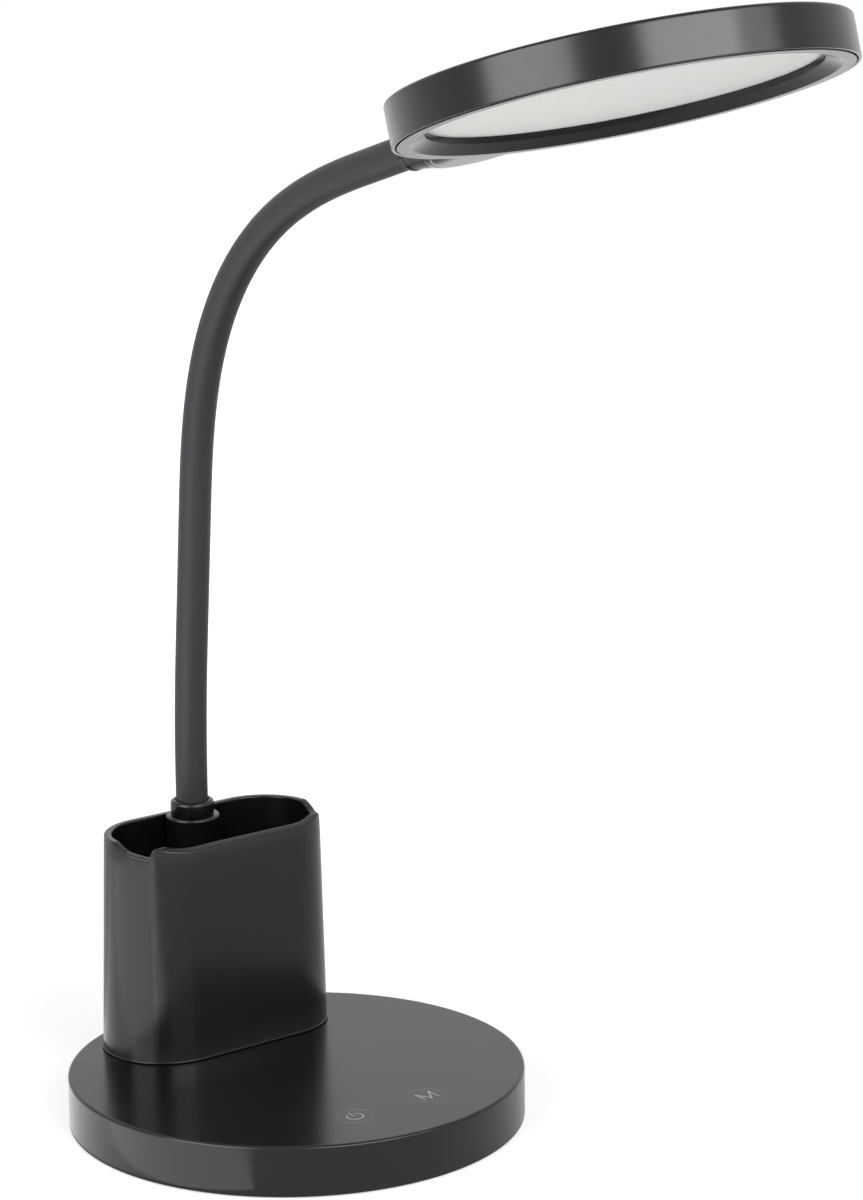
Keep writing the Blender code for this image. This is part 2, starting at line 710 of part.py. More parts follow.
def rim_cut_outline():
    top = COLUMN_TOP_Z
    front = COLUMN_Y - COLUMN_FOOT_RADIUS
    back = COLUMN_Y + COLUMN_FOOT_RADIUS + CUT_OVERRUN
    slope = RIM_FRONT_DROP / (GROOVE_LIP_Y - front)
    start = front - CUT_OVERRUN
    groove_z = top - GROOVE_DEPTH
    seat_y = GROOVE_FLOOR_Y + GROOVE_SEAT_RUN
    return [
        (start, top - RIM_FRONT_DROP - slope * CUT_OVERRUN),
        (GROOVE_LIP_Y - GROOVE_LIP_ROUND, top - slope * GROOVE_LIP_ROUND),
        (GROOVE_LIP_Y, top - GROOVE_LIP_ROUND / 2),
        (blend(GROOVE_LIP_Y, GROOVE_FLOOR_Y, 0.5), blend(top, groove_z, 0.6)),
        (GROOVE_FLOOR_Y, groove_z),
        (seat_y, groove_z + GROOVE_SEAT_RISE),
        (blend(seat_y, GROOVE_BACK_Y, 0.7), blend(groove_z + GROOVE_SEAT_RISE, top, 0.85)),
        (GROOVE_BACK_Y, top),
        (back, top),
        (back, top + CUT_OVERRUN),
        (start, top + CUT_OVERRUN),
    ]


def column_cup():
    over = CUT_OVERRUN / 2
    lip_top = COLUMN_LOW + COLUMN_LIP_HEIGHT
    cup = lofted("column_cup", [
        column_ring(COLUMN_LOW, COLUMN_LIP), column_ring(lip_top, COLUMN_LIP),
        column_ring(lip_top + SEAT_GAP), column_ring(COLUMN_TOP_Z + over)])
    hollow = lofted("cup_hollow_tool", [
        column_ring(CUP_FLOOR_Z, -COLUMN_WALL), column_ring(COLUMN_TOP_Z + CUT_OVERRUN, -COLUMN_WALL)])
    post = circle_outline(PILLAR_RADIUS, 24, 0.0, NECK_ROOT_Y)
    pillar = prism("pillar_tool", post, CUP_FLOOR_Z - over, COLUMN_TOP_Z + 2 * CUT_OVERRUN)
    boolean(hollow, guide(pillar))
    boolean(cup, guide(hollow))
    along_x = Matrix(((0, 0, 1, 0), (1, 0, 0, 0), (0, 1, 0, 0), (0, 0, 0, 1)))
    reach = COLUMN_HALF_RUN + COLUMN_FOOT_RADIUS + CUT_OVERRUN
    rim = prism("rim_cut_tool", rim_cut_outline(), -reach, reach, along_x)
    boolean(cup, guide(rim))
    holes = bmesh.new()
    bore = circle_outline(CORE_RADIUS + SEAT_GAP, 16, 0.0, NECK_ROOT_Y)
    add_prism(holes, bore, NUT_POCKET_TOP_Z - CUT_OVERRUN, COLUMN_TOP_Z + CUT_OVERRUN)
    for x, y in column_screw_places():
        pilot = circle_outline(SCREW_SHAFT_RADIUS + SEAT_GAP, 10, x, y)
        add_prism(holes, pilot, COLUMN_LOW - CUT_OVERRUN, CUP_FLOOR_Z - COLUMN_WALL)
    boolean(cup, guide(mesh_object("column_hole_tool", holes)))
    pocket = circle_outline(NUT_POCKET_RADIUS, 20, 0.0, NECK_ROOT_Y)
    pocket_tool = prism("nut_pocket_tool", pocket, COLUMN_LOW - CUT_OVERRUN, NUT_POCKET_TOP_Z)
    boolean(cup, guide(pocket_tool))
    return place(cup, black_plastic())


def column_screws():
    places = [(x, y, SHELL_CEILING - SEAT_GAP) for x, y in column_screw_places()]
    screws("column_screw", places, SCREW_GRIP + BASE_WALL)


# Neck path and pieces

NECK_END_TILT_DEG = 90.0 - HEAD_TILT_DEG


def neck_angle(run):
    lean = NECK_LEAN_DEG * smooth_share(run / (NECK_LEAN_SHARE * NECK_LENGTH))
    bend_run = (NECK_BEND_END_SHARE - NECK_BEND_START_SHARE) * NECK_LENGTH
    share = smooth_share((run - NECK_BEND_START_SHARE * NECK_LENGTH) / bend_run)
    return math.radians(lean + (NECK_END_TILT_DEG - NECK_LEAN_DEG) * share)


def neck_tangent(run):
    angle = neck_angle(run)
    return Vector((0.0, -math.sin(angle), math.cos(angle)))


def neck_point(run):
    point = Vector((0.0, NECK_ROOT_Y, SLEEVE_START_Z))
    step = run / PATH_STEPS
    for i in range(PATH_STEPS):
        point += neck_tangent(step * (i + 0.5)) * step
    return point


def neck_frame(run):
    tangent = neck_tangent(run)
    across = Vector((1.0, 0.0, 0.0))
    outward = tangent.cross(across)
    turn = Matrix((across, outward, tangent)).transposed().to_4x4()
    return Matrix.Translation(neck_point(run)) @ turn


JOINT_PITCH = NECK_LENGTH / NECK_JOINTS


def joint_run(number):
    return JOINT_PITCH * (number - 0.5)


def swept(name, stations, sides, closed_loop=False):
    # Each station is a frame, an offset along it and a radius; a radius of zero is a pole.
    bm = bmesh.new()
    loops = []
    for frame, offset, radius in stations:
        if radius == 0.0:
            loops.append([bm.verts.new(frame @ Vector((0.0, 0.0, offset)))])
        else:
            outline = circle_outline(radius, sides)
            loops.append([bm.verts.new(frame @ Vector((x, y, offset))) for x, y in outline])
    pairs = list(zip(loops, loops[1:]))
    if closed_loop:
        pairs.append((loops[-1], loops[0]))
    for lower, upper in pairs:
        for i in range(sides):
            j = (i + 1) % sides
            if len(lower) == 1:
                bm.faces.new((lower[0], upper[j], upper[i]))
            elif len(upper) == 1:
                bm.faces.new((lower[i], lower[j], upper[0]))
            else:
                bm.faces.new((lower[i], lower[j], upper[j], upper[i]))
    return mesh_object(name, bm)


def ball_stations(frame):
    stem_start = math.degrees(math.asin(STEM_RADIUS / BALL_RADIUS))
    stations = [(frame, -BALL_RADIUS, 0.0)]
    for share in (0.25, 0.5, 0.75, 1.0):
        angle = math.radians(blend(0.0, 180.0 - stem_start, share))
        stations.append((frame, -BALL_RADIUS * math.cos(angle), BALL_RADIUS * math.sin(angle)))
    stations.append((frame, SHOULDER_RISE, STEM_RADIUS))
    return stations


def cup_stations(frame):
    cup_radius = BALL_RADIUS + SEAT_GAP
    stations = [(frame, 0.0, CORE_RADIUS), (frame, 0.0, cup_radius)]
    for share in (0.35, 0.7):
        angle = math.radians(blend(90.0, 180.0, share))
        stations.append((frame, cup_radius * math.cos(angle), cup_radius * math.sin(angle)))
    stations.append((frame, -cup_radius, 0.0))
    return stations


def body_stations(start_run, end_run, steps):
    runs = [blend(start_run, end_run, i / steps) for i in range(steps + 1)]
    return [(neck_frame(run), 0.0, CORE_RADIUS) for run in runs]


def neck_core(number):
    low, high = joint_run(number), joint_run(number + 1)
    low_frame, high_frame = neck_frame(low), neck_frame(high)
    stations = ball_stations(low_frame)
    stations.append((low_frame, SHOULDER_RISE, CORE_RADIUS))
    stations += body_stations(low + JOINT_PITCH / 3, high - JOINT_PITCH / 3, 1)
    stations += cup_stations(high_frame)
    return swept(f"neck_core_{number:02d}", stations, CORE_SIDES)


def neck_core_root():
    root = neck_frame(0.0)
    stations = [
        (root, -ANCHOR_DROP, 0.0),
        (root, -ANCHOR_DROP, CORE_RADIUS),
        (root, 0.0, CORE_RADIUS),
    ]
    stations += cup_stations(neck_frame(joint_run(1)))
    return swept("neck_core_00", stations, CORE_SIDES)


def neck_core_end():
    frame = neck_frame(joint_run(NECK_JOINTS))
    end = neck_frame(NECK_LENGTH)
    tail = UPPER_COLLAR_LENGTH + ARM_BORE_DEPTH
    stations = ball_stations(frame)
    stations += [
        (frame, SHOULDER_RISE, CORE_RADIUS),
        (end, 0.0, CORE_RADIUS),
        (end, tail, CORE_RADIUS),
        (end, tail, 0.0),
    ]
    return swept(f"neck_core_{NECK_JOINTS:02d}", stations, CORE_SIDES)


def neck_sleeve(number):
    low = JOINT_PITCH * (number - 1) + SEAT_GAP / 2
    high = JOINT_PITCH * number - SEAT_GAP / 2
    runs = [blend(low, high, i / SLEEVE_STEPS) for i in range(SLEEVE_STEPS + 1)]
    frames = [neck_frame(run) for run in runs]
    outer = [(frame, 0.0, NECK_RADIUS) for frame in frames]
    inner = [(frame, 0.0, NECK_RADIUS - SLEEVE_WALL) for frame in reversed(frames)]
    return swept(f"neck_sleeve_{number:02d}", outer + inner, SLEEVE_SIDES, closed_loop=True)


def on_joint(obj, joint, finish):
    # The mesh is made in place, so its points are moved into the joint's frame.
    obj.data.transform(joint.matrix_world.inverted())
    return place(obj, finish, joint)


def lower_collar():
    inner = NECK_RADIUS + SEAT_GAP
    low, high = SLEEVE_START_Z, SLEEVE_START_Z + LOWER_COLLAR_HEIGHT
    corner = arc_points(LOWER_COLLAR_RADIUS - COLLAR_ROUND, high - COLLAR_ROUND, COLLAR_ROUND, 0.0, 70.0, 2)
    profile = [(inner, low), (LOWER_COLLAR_RADIUS, low)] + corner + [(inner, high)]
    collar = turned("lower_collar", profile, 24)
    return place(collar, black_plastic(), location=(0.0, NECK_ROOT_Y, 0.0))


def neck_washer():
    high = NUT_POCKET_TOP_Z - SEAT_GAP
    profile = ring_profile(CORE_RADIUS + SEAT_GAP, NUT_RADIUS, high - WASHER_THICK, high)
    return place(turned("neck_washer", profile, 20), steel(), location=(0.0, NECK_ROOT_Y, 0.0))


def neck_nut():
    high = NUT_POCKET_TOP_Z - 2 * SEAT_GAP - WASHER_THICK
    low = high - NUT_THICK
    nut = prism("neck_nut", circle_outline(NUT_RADIUS, 6), low, high)
    bore = circle_outline(CORE_RADIUS + SEAT_GAP, 16)
    tool = prism("nut_bore_tool", bore, low - CUT_OVERRUN, high + CUT_OVERRUN)
    boolean(nut, guide(tool, nut))
    return place(nut, steel(), location=(0.0, NECK_ROOT_Y, 0.0))


# Lamp head pieces, in the head's frame

COVER_INNER_RADIUS = HEAD_RADIUS - HEAD_WALL
BEZEL_RADIUS = HEAD_RADIUS - HEAD_RIM_WALL - SEAT_GAP
BEZEL_FLAT_RADIUS = BEZEL_RADIUS - BEZEL_FLAT_WIDTH
BEZEL_MOUTH_RADIUS = BEZEL_FLAT_RADIUS - BEZEL_CONE_RUN
BEZEL_WINDOW_RADIUS = BEZEL_MOUTH_RADIUS - BEZEL_LEDGE_WIDTH
DIFFUSER_RADIUS = BEZEL_WINDOW_RADIUS + DIFFUSER_LAP
DIFFUSER_LOW = BEZEL_HEIGHT + SEAT_GAP
DIFFUSER_TOP = DIFFUSER_LOW + DIFFUSER_THICK
LED_BOARD_RADIUS = DIFFUSER_RADIUS + LED_BOARD_LAP
LED_BOARD_TOP = HEAD_HEIGHT - HEAD_TOP_WALL - SEAT_GAP
LED_BOARD_LOW = LED_BOARD_TOP - LED_BOARD_THICK
LED_OUTER_RING = LED_BOARD_RADIUS - LED_EDGE
LED_INNER_RING = LED_OUTER_RING - LED_RING_STEP
LED_SCREW_RING = LED_INNER_RING + LED_RING_STEP / 2
REFLECTOR_HEIGHT = LED_BOARD_LOW - DIFFUSER_TOP - 2 * SEAT_GAP
NECK_END_BACK = HEAD_RADIUS + ARM_REACH
ARM_END_Y = NECK_END_BACK - UPPER_COLLAR_LENGTH - SEAT_GAP


def arm_low(share):
    drop = smooth_share((share - ARM_NOSE_SHARE) / (1.0 - ARM_NOSE_SHARE))
    return blend(SEAT_GAP / 3, NECK_AXIS_HEIGHT - UPPER_COLLAR_RADIUS, drop)


def arm_ring(share):
    # A flat tongue under the neck's end, which narrows in a round nose to the collar
    eased = smooth_share(share)
    y = blend(HEAD_RADIUS - HEAD_WALL / 2, ARM_END_Y, share)
    along_nose = min(share / ARM_NOSE_SHARE, 1.0)
    half_width = blend(UPPER_COLLAR_RADIUS, ARM_ROOT_HALF_WIDTH, math.sqrt(1.0 - along_nose ** 2))
    low = arm_low(share)
    high = blend(HEAD_HEIGHT - SEAT_GAP / 3, NECK_AXIS_HEIGHT + UPPER_COLLAR_RADIUS, eased)
    power = 2.0 / blend(ARM_ROOT_EXPONENT, ARM_TIP_EXPONENT, smooth_share(share / ARM_NOSE_SHARE - 0.5))
    ring = []
    for i in range(ARM_SIDES):
        angle = math.tau * (i + 0.5) / ARM_SIDES
        x = math.copysign(abs(math.cos(angle)) ** power, math.cos(angle)) * half_width
        z = math.copysign(abs(math.sin(angle)) ** power, math.sin(angle)) * (high - low) / 2
        ring.append((x, y, (high + low) / 2 + z))
    return ring


def head_cover(frame):
    corner = arc_points(HEAD_RADIUS - HEAD_EDGE_ROUND, HEAD_HEIGHT - HEAD_EDGE_ROUND,
                        HEAD_EDGE_ROUND, 90.0, 0.0, 3)
    profile = [(0.0, HEAD_HEIGHT)] + corner + [
        (HEAD_RADIUS, 0.0),
        (HEAD_RADIUS - HEAD_RIM_WALL, 0.0),
        (HEAD_RADIUS - HEAD_RIM_WALL, BEZEL_FLANGE + SEAT_GAP),
        (COVER_INNER_RADIUS, BEZEL_FLANGE + SEAT_GAP),
        (COVER_INNER_RADIUS, LED_BOARD_TOP + SEAT_GAP),
        (0.0, LED_BOARD_TOP + SEAT_GAP),
    ]
    cover = turned("head_cover", profile, HEAD_SIDES)
    rings = [arm_ring(i / ARM_STEPS) for i in range(ARM_STEPS + 1)]
    boolean(cover, guide(lofted("arm_tool", rings), cover), "UNION")
    along_y = Matrix.Translation((0.0, 0.0, NECK_AXIS_HEIGHT)) @ Matrix.Rotation(math.radians(-90.0), 4, "X")
    holes = bmesh.new()
    bore = circle_outline(CORE_RADIUS + SEAT_GAP, 16)
    add_prism(holes, bore, ARM_END_Y - ARM_BORE_DEPTH, ARM_END_Y + CUT_OVERRUN, along_y)
    boolean(cover, guide(mesh_object("arm_bore_tool", holes), cover))
    drillings = bmesh.new()
    lead_way = circle_outline(LEAD_RADIUS + SEAT_GAP, 10)
    add_prism(drillings, lead_way, HEAD_RADIUS - CUT_OVERRUN, ARM_END_Y - ARM_BORE_DEPTH + CUT_OVERRUN / 2,
              lead_way_matrix())
    screw_way = circle_outline(SCREW_SHAFT_RADIUS + SEAT_GAP, 10, 0.0, ARM_END_Y - SET_SCREW_INSET)
    add_prism(drillings, screw_way, -CUT_OVERRUN, NECK_AXIS_HEIGHT)
    for x, y in led_screw_places():
        pilot = circle_outline(SCREW_SHAFT_RADIUS * LED_SCREW_SHARE + SEAT_GAP, 8, x, y)
        add_prism(drillings, pilot, LED_BOARD_TOP - CUT_OVERRUN, LED_BOARD_TOP + HEAD_WALL / 2)
    boolean(cover, guide(mesh_object("cover_drilling_tool", drillings), cover))
    return place(cover, black_plastic(), frame)


def lead_way_matrix():
    height = blend(DIFFUSER_TOP, LED_BOARD_LOW, 0.5)
    return Matrix.Translation((0.0, 0.0, height)) @ Matrix.Rotation(math.radians(-90.0), 4, "X")


def led_screw_places():
    return circle_outline(LED_SCREW_RING, LED_SCREW_COUNT)


def bezel_ring(frame):
    profile = [
        (BEZEL_RADIUS, 0.0),
        (BEZEL_RADIUS, BEZEL_FLANGE),
        (COVER_INNER_RADIUS - SEAT_GAP, BEZEL_FLANGE),
        (COVER_INNER_RADIUS - SEAT_GAP, BEZEL_HEIGHT),
        (BEZEL_WINDOW_RADIUS, BEZEL_HEIGHT),
        (BEZEL_WINDOW_RADIUS, BEZEL_CONE_RISE + BEZEL_LEDGE_RISE),
        (BEZEL_MOUTH_RADIUS, BEZEL_CONE_RISE + BEZEL_LEDGE_RISE),
        (BEZEL_MOUTH_RADIUS, BEZEL_CONE_RISE),
        (BEZEL_FLAT_RADIUS, 0.0),
    ]
    return place(turned("bezel_ring", profile, HEAD_SIDES), black_plastic(), frame)


def diffuser(frame):
    outline = circle_outline(DIFFUSER_RADIUS, HEAD_SIDES * 2 // 3)
    return place(prism("diffuser", outline, DIFFUSER_LOW, DIFFUSER_TOP), frosted_white(), frame)


def reflector_ring(frame):
    low = DIFFUSER_TOP + SEAT_GAP
    profile = ring_profile(DIFFUSER_RADIUS - REFLECTOR_WALL, DIFFUSER_RADIUS, low, low + REFLECTOR_HEIGHT)
    ring = turned("reflector_ring", profile, HEAD_SIDES * 2 // 3)
    notch = rectangle(2 * LEAD_HOLE_RADIUS, 2 * LEAD_HOLE_RADIUS, 0.0, DIFFUSER_RADIUS)
    tool = prism("reflector_notch_tool", notch, low - CUT_OVERRUN, low + CUT_OVERRUN)
    boolean(ring, guide(tool, ring))
    return place(ring, board_white(), frame)


def led_board(frame):
    board = prism("led_board", circle_outline(LED_BOARD_RADIUS, HEAD_SIDES * 2 // 3),
                  LED_BOARD_LOW, LED_BOARD_TOP)
    holes = bmesh.new()
    for x, y in led_screw_places():
        shaft = circle_outline(SCREW_SHAFT_RADIUS * LED_SCREW_SHARE + SEAT_GAP, 8, x, y)
        add_prism(holes, shaft, LED_BOARD_LOW - CUT_OVERRUN, LED_BOARD_TOP + CUT_OVERRUN)
    boolean(board, guide(led_chip_tool(), board), "UNION")
    boolean(board, guide(mesh_object("led_board_hole_tool", holes), board))
    return place(board, board_white(), frame)


def led_chip_tool():
    bm = bmesh.new()
    low = LED_BOARD_LOW - LED_THICK
    high = LED_BOARD_LOW + LED_BOARD_THICK / 2
    for ring_radius, count in ((LED_OUTER_RING, LED_OUTER_COUNT), (LED_INNER_RING, LED_INNER_COUNT)):
        for i in range(count):
            turn = Matrix.Rotation(math.tau * (i + 0.5) / count, 4, "Z")
            outline = rectangle(LED_WIDTH, LED_WIDTH, ring_radius, 0.0)
            add_prism(bm, outline, low, high, turn)
    return mesh_object("led_chip_tool", bm)


def led_board_screws(frame):
    places = [(x, y, LED_BOARD_LOW - SEAT_GAP) for x, y in led_screw_places()]
    screws("led_board_screw", places, LED_BOARD_THICK + HEAD_WALL / 3, LED_SCREW_SHARE, 8, frame)


def upper_collar(frame):
    inner = CORE_RADIUS + SEAT_GAP
    corner = arc_points(UPPER_COLLAR_RADIUS - COLLAR_ROUND, UPPER_COLLAR_LENGTH - COLLAR_ROUND,
                        COLLAR_ROUND, 0.0, 75.0, 2)
    profile = [(inner, 0.0), (UPPER_COLLAR_RADIUS, 0.0)] + corner + [(inner, UPPER_COLLAR_LENGTH)]
    collar = turned("upper_collar", profile, 24)
    place_at = (0.0, ARM_END_Y + SEAT_GAP, NECK_AXIS_HEIGHT)
    return place(collar, black_plastic(), frame, place_at, (math.radians(-90.0), 0.0, 0.0))


def arm_set_screw(frame):
    length = NECK_AXIS_HEIGHT - CORE_RADIUS - SEAT_GAP - arm_floor(ARM_END_Y - SET_SCREW_INSET)
    outline = circle_outline(SCREW_SHAFT_RADIUS, 10)
    high = NECK_AXIS_HEIGHT - CORE_RADIUS - SEAT_GAP
    screw = prism("arm_set_screw", outline, high - length, high)
    place_at = (0.0, ARM_END_Y - SET_SCREW_INSET, 0.0)
    return place(screw, steel(), frame, place_at)


def arm_floor(y):
    start = HEAD_RADIUS - HEAD_WALL / 2
    return arm_low((y - start) / (ARM_END_Y - start)) + SEAT_GAP


# Leads

def drop_to_board(x, high):
    low = BOARD_TOP + LEAD_RADIUS
    return [
        (x, WEIGHT_BACK_Y, high),
        (x, blend(WEIGHT_BACK_Y, BOARD_FRONT_Y, 0.5), blend(high, low, 0.3)),
        (x, BOARD_FRONT_Y - SEAT_GAP, low),
    ]


def battery_lead():
    x = BOARD_WIDTH / 4
    high = FLOOR_TOP + WEIGHT_THICK + LEAD_RADIUS + 2 * SEAT_GAP
    start = (x, BATTERY_Y + BATTERY_DEPTH / 2 + SEAT_GAP, high)
    return lead("battery_lead", [start] + drop_to_board(x, high), lead_red())


def touch_lead():
    high = SHELL_CEILING - TOUCH_BOARD_THICK - LEAD_RADIUS - 3 * SEAT_GAP
    beside = BATTERY_WIDTH / 2 + 3 * LEAD_RADIUS
    route = [
        (TOUCH_BOARD_WIDTH * 0.45, KEY_Y, high),
        (beside, BATTERY_Y - BATTERY_DEPTH / 2, high),
        (beside, BATTERY_Y + BATTERY_DEPTH / 2, high),
    ]
    return lead("touch_lead", route + drop_to_board(BOARD_WIDTH * 0.42, high), lead_red())


def lamp_lead():
    top = SLEEVE_START_Z - ANCHOR_DROP - SEAT_GAP
    route = [
        (0.0, NECK_ROOT_Y, top),
        (0.0, NECK_ROOT_Y, blend(top, COLUMN_LOW, 0.5)),
        (0.0, NECK_ROOT_Y, BASE_HEIGHT),
        (0.0, NECK_ROOT_Y, BOARD_TOP + 4 * SEAT_GAP),
    ]
    return lead("lamp_lead", route, lead_red())


def head_lead(frame):
    height = blend(DIFFUSER_TOP, LED_BOARD_LOW, 0.5)
    route = [
        (0.0, ARM_END_Y - ARM_BORE_DEPTH - SEAT_GAP, height),
        (0.0, HEAD_RADIUS, height),
        (0.0, LED_BOARD_RADIUS - LED_WIDTH, height),
    ]
    return lead("head_lead", route, lead_red(), frame)


# Assembly

def clear_scene():
    for obj in list(bpy.data.objects):
        bpy.data.objects.remove(obj, do_unlink=True)


def build_stand():
    base_shell()
    base_floor()
    foot_pad()
    base_screws()
    base_weight()
    battery_cell()
    control_board()
    charge_socket()
    charge_light()
    touch_board()
    power_key()
    mode_key()
    column_cup()
    column_screws()
    lower_collar()
    neck_washer()
    neck_nut()
    place(neck_core_root(), steel())
    battery_lead()
    touch_lead()
    lamp_lead()


def build_neck():
    joint = None
    for number in range(1, NECK_JOINTS + 1):
        joint = empty(f"neck_joint_{number:02d}", neck_frame(joint_run(number)), joint)
        on_joint(neck_sleeve(number), joint, sleeve_rubber())
        core = neck_core(number) if number < NECK_JOINTS else neck_core_end()
        on_joint(core, joint, steel())
    return joint


def head_matrix():
    # The head is tilted about the neck's end and twisted a little about the neck's own axis
    tilt = Matrix.Rotation(math.radians(-HEAD_TILT_DEG), 4, "X")
    turn = tilt @ Matrix.Rotation(math.radians(HEAD_TWIST_DEG), 4, "Y")
    neck_end = turn @ Vector((0.0, NECK_END_BACK, NECK_AXIS_HEIGHT))
    return Matrix.Translation(neck_point(NECK_LENGTH) - neck_end) @ turn


def build_head(joint):
    frame = empty("head_frame", head_matrix(), joint)
    head_cover(frame)
    bezel_ring(frame)
    diffuser(frame)
    reflector_ring(frame)
    led_board(frame)
    led_board_screws(frame)
    upper_collar(frame)
    arm_set_screw(frame)
    head_lead(frame)


def build_lamp():
    clear_scene()
    build_stand()
    build_head(build_neck())


build_lamp()
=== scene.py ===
import math
import bmesh
import bpy
from mathutils import Matrix, Quaternion, Vector


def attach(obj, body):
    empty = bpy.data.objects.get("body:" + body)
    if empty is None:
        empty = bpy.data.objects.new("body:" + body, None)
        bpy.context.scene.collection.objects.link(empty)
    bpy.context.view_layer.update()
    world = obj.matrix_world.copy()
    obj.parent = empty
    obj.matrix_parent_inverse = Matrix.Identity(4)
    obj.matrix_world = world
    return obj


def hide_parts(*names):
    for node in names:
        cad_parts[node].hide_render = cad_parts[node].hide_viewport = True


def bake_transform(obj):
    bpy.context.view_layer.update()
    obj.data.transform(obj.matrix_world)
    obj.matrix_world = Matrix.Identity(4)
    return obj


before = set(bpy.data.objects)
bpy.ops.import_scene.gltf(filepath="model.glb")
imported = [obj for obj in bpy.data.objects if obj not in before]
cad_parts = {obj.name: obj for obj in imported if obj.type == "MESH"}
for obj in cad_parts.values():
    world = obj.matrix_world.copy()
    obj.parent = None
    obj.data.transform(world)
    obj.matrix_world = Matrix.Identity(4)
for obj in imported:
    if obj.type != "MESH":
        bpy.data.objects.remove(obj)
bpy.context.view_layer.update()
print("frame loaded:", len(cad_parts), "nodes")


# small helpers

def smoothShare(value):
    value = min(max(value, 0.0), 1.0)
    return value * value * (3.0 - 2.0 * value)


supportRing, supportRoom = 0.0003, 0.0025  # a ring beside a rounding keeps the flat next to it flat in the shading
mergeDistance = 1e-7
sharpAngle = math.radians(30.0)
seatGap = 0.0003  # between pieces that rest on each other
toolReach = 0.004  # how far a cutting tool runs past the surface it opens
screwHole, holeSteps = 0.0015, 24


def roundedProfile(corners, closed=True):
    # corners are (radius, height, rounding, steps); a rounding of 0 keeps the corner sharp
    path = []
    count = len(corners)
    for i, (r, z, rounding, steps) in enumerate(corners):
        here = Vector((r, z))
        if rounding == 0 or (not closed and i in (0, count - 1)):
            path.append((r, z))
            continue
        before = Vector(corners[i - 1][:2])
        after = Vector(corners[(i + 1) % count][:2])
        inward = (before - here).normalized()
        outward = (after - here).normalized()
        half = inward.angle(outward) / 2
        reach = rounding / math.tan(half)
        centre = here + (inward + outward).normalized() * (rounding / math.sin(half))
        start = here + inward * reach - centre
        end = here + outward * reach - centre
        sweep = start.angle_signed(end)
        if (before - here).length > reach + supportRoom:
            path.append(tuple(here + inward * (reach + supportRing)))
        for step in range(steps + 1):
            turned = start.copy()
            turned.rotate(Matrix.Rotation(-sweep * step / steps, 2))
            path.append(tuple(centre + turned))
        if (after - here).length > reach + supportRoom:
            path.append(tuple(here + outward * (reach + supportRing)))
    return path


def turnedBody(corners, steps, closed=True):
    bm = bmesh.new()
    made = [bm.verts.new((r, 0.0, z)) for r, z in roundedProfile(corners, closed)]
    edges = [bm.edges.new(pair) for pair in zip(made, made[1:])]
    if closed:
        edges.append(bm.edges.new((made[-1], made[0])))
    bmesh.ops.spin(bm, geom=made + edges, cent=(0, 0, 0), axis=(0, 0, 1),
                   angle=math.tau, steps=steps, use_merge=True)
    bmesh.ops.remove_doubles(bm, verts=bm.verts, dist=mergeDistance)
    return bm


def linkObject(name, data):
    made = bpy.data.objects.new(name, data)
    bpy.context.scene.collection.objects.link(made)
    return made


def objectFrom(name, bm):
    mesh = bpy.data.meshes.new(name)
    bm.to_mesh(mesh)
    bm.free()
    return linkObject(name, mesh)


def solidFrom(name, bm, place=None):
    bmesh.ops.recalc_face_normals(bm, faces=bm.faces)
    if place is not None:
        bmesh.ops.transform(bm, matrix=place, verts=bm.verts)
    return objectFrom(name, bm)


def shadePiece(piece):
    piece.data.shade_smooth()
    piece.data.set_sharp_from_angle(angle=sharpAngle)


def meshPiece(name, bm, material, body=None, stands=(), place=None):
    bmesh.ops.remove_doubles(bm, verts=bm.verts, dist=mergeDistance)
    piece = solidFrom(name, bm, place)
    piece.data.materials.append(material)
    shadePiece(piece)
    if body:
        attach(piece, body)
    if stands:
        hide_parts(*stands)
    return piece


def applyModifiers(piece):
    bpy.context.view_layer.update()
    ready = piece.evaluated_get(bpy.context.evaluated_depsgraph_get())
    mesh = bpy.data.meshes.new_from_object(ready)
    old = piece.data
    piece.modifiers.clear()
    piece.data = mesh
    bpy.data.meshes.remove(old)
    mesh.name = piece.name
    shadePiece(piece)


def carve(piece, tool, operation="DIFFERENCE"):
    change = piece.modifiers.new("carve", "BOOLEAN")
    change.object = tool
    change.operation = operation
    change.solver = "EXACT"
    applyModifiers(piece)
    old = tool.data
    bpy.data.objects.remove(tool)
    bpy.data.meshes.remove(old)


def stadiumLoop(bm, halfRun, radius, z, centreY, segments):
    made = bmesh.ops.create_circle(bm, segments=segments, radius=radius)["verts"]
    bmesh.ops.rotate(bm, verts=made, cent=(0, 0, 0), matrix=Matrix.Rotation(math.pi / segments, 3, "Z"))
    for v in made:
        v.co.x += math.copysign(halfRun, v.co.x)
    bmesh.ops.translate(bm, verts=made, vec=(0, centreY, z))
    return made


def bridgeRings(bm, rings, capped=True):
    # a skin from ring to ring, closed at both ends when capped
    for a, b in zip(rings, rings[1:]):
        edges = {e for ring in (a, b) for v in ring for e in v.link_edges if e.other_vert(v) in ring}
        bmesh.ops.bridge_loops(bm, edges=list(edges))
    if capped:
        bm.faces.new(rings[0])
        bm.faces.new(rings[-1])


def extrudeOutline(bm, points, low, high):
    face = bm.faces.new([bm.verts.new((x, y, low)) for x, y in points])
    raised = bmesh.ops.extrude_face_region(bm, geom=[face])["geom"]
    corners = [v for v in raised if isinstance(v, bmesh.types.BMVert)]
    bmesh.ops.translate(bm, verts=corners, vec=(0, 0, high - low))


def prismTool(name, outline, low, high, place=None):
    bm = bmesh.new()
    extrudeOutline(bm, outline, low, high)
    return solidFrom(name, bm, place)


def circlePoints(radius, count, x, y):
    return [(x + radius * math.cos(math.tau * i / count), y + radius * math.sin(math.tau * i / count))
            for i in range(count)]


def carveRound(piece, radius, count, x, y, low, high, place=None):
    carve(piece, prismTool("roundTool", circlePoints(radius, count, x, y), low, high, place))


# shader groups

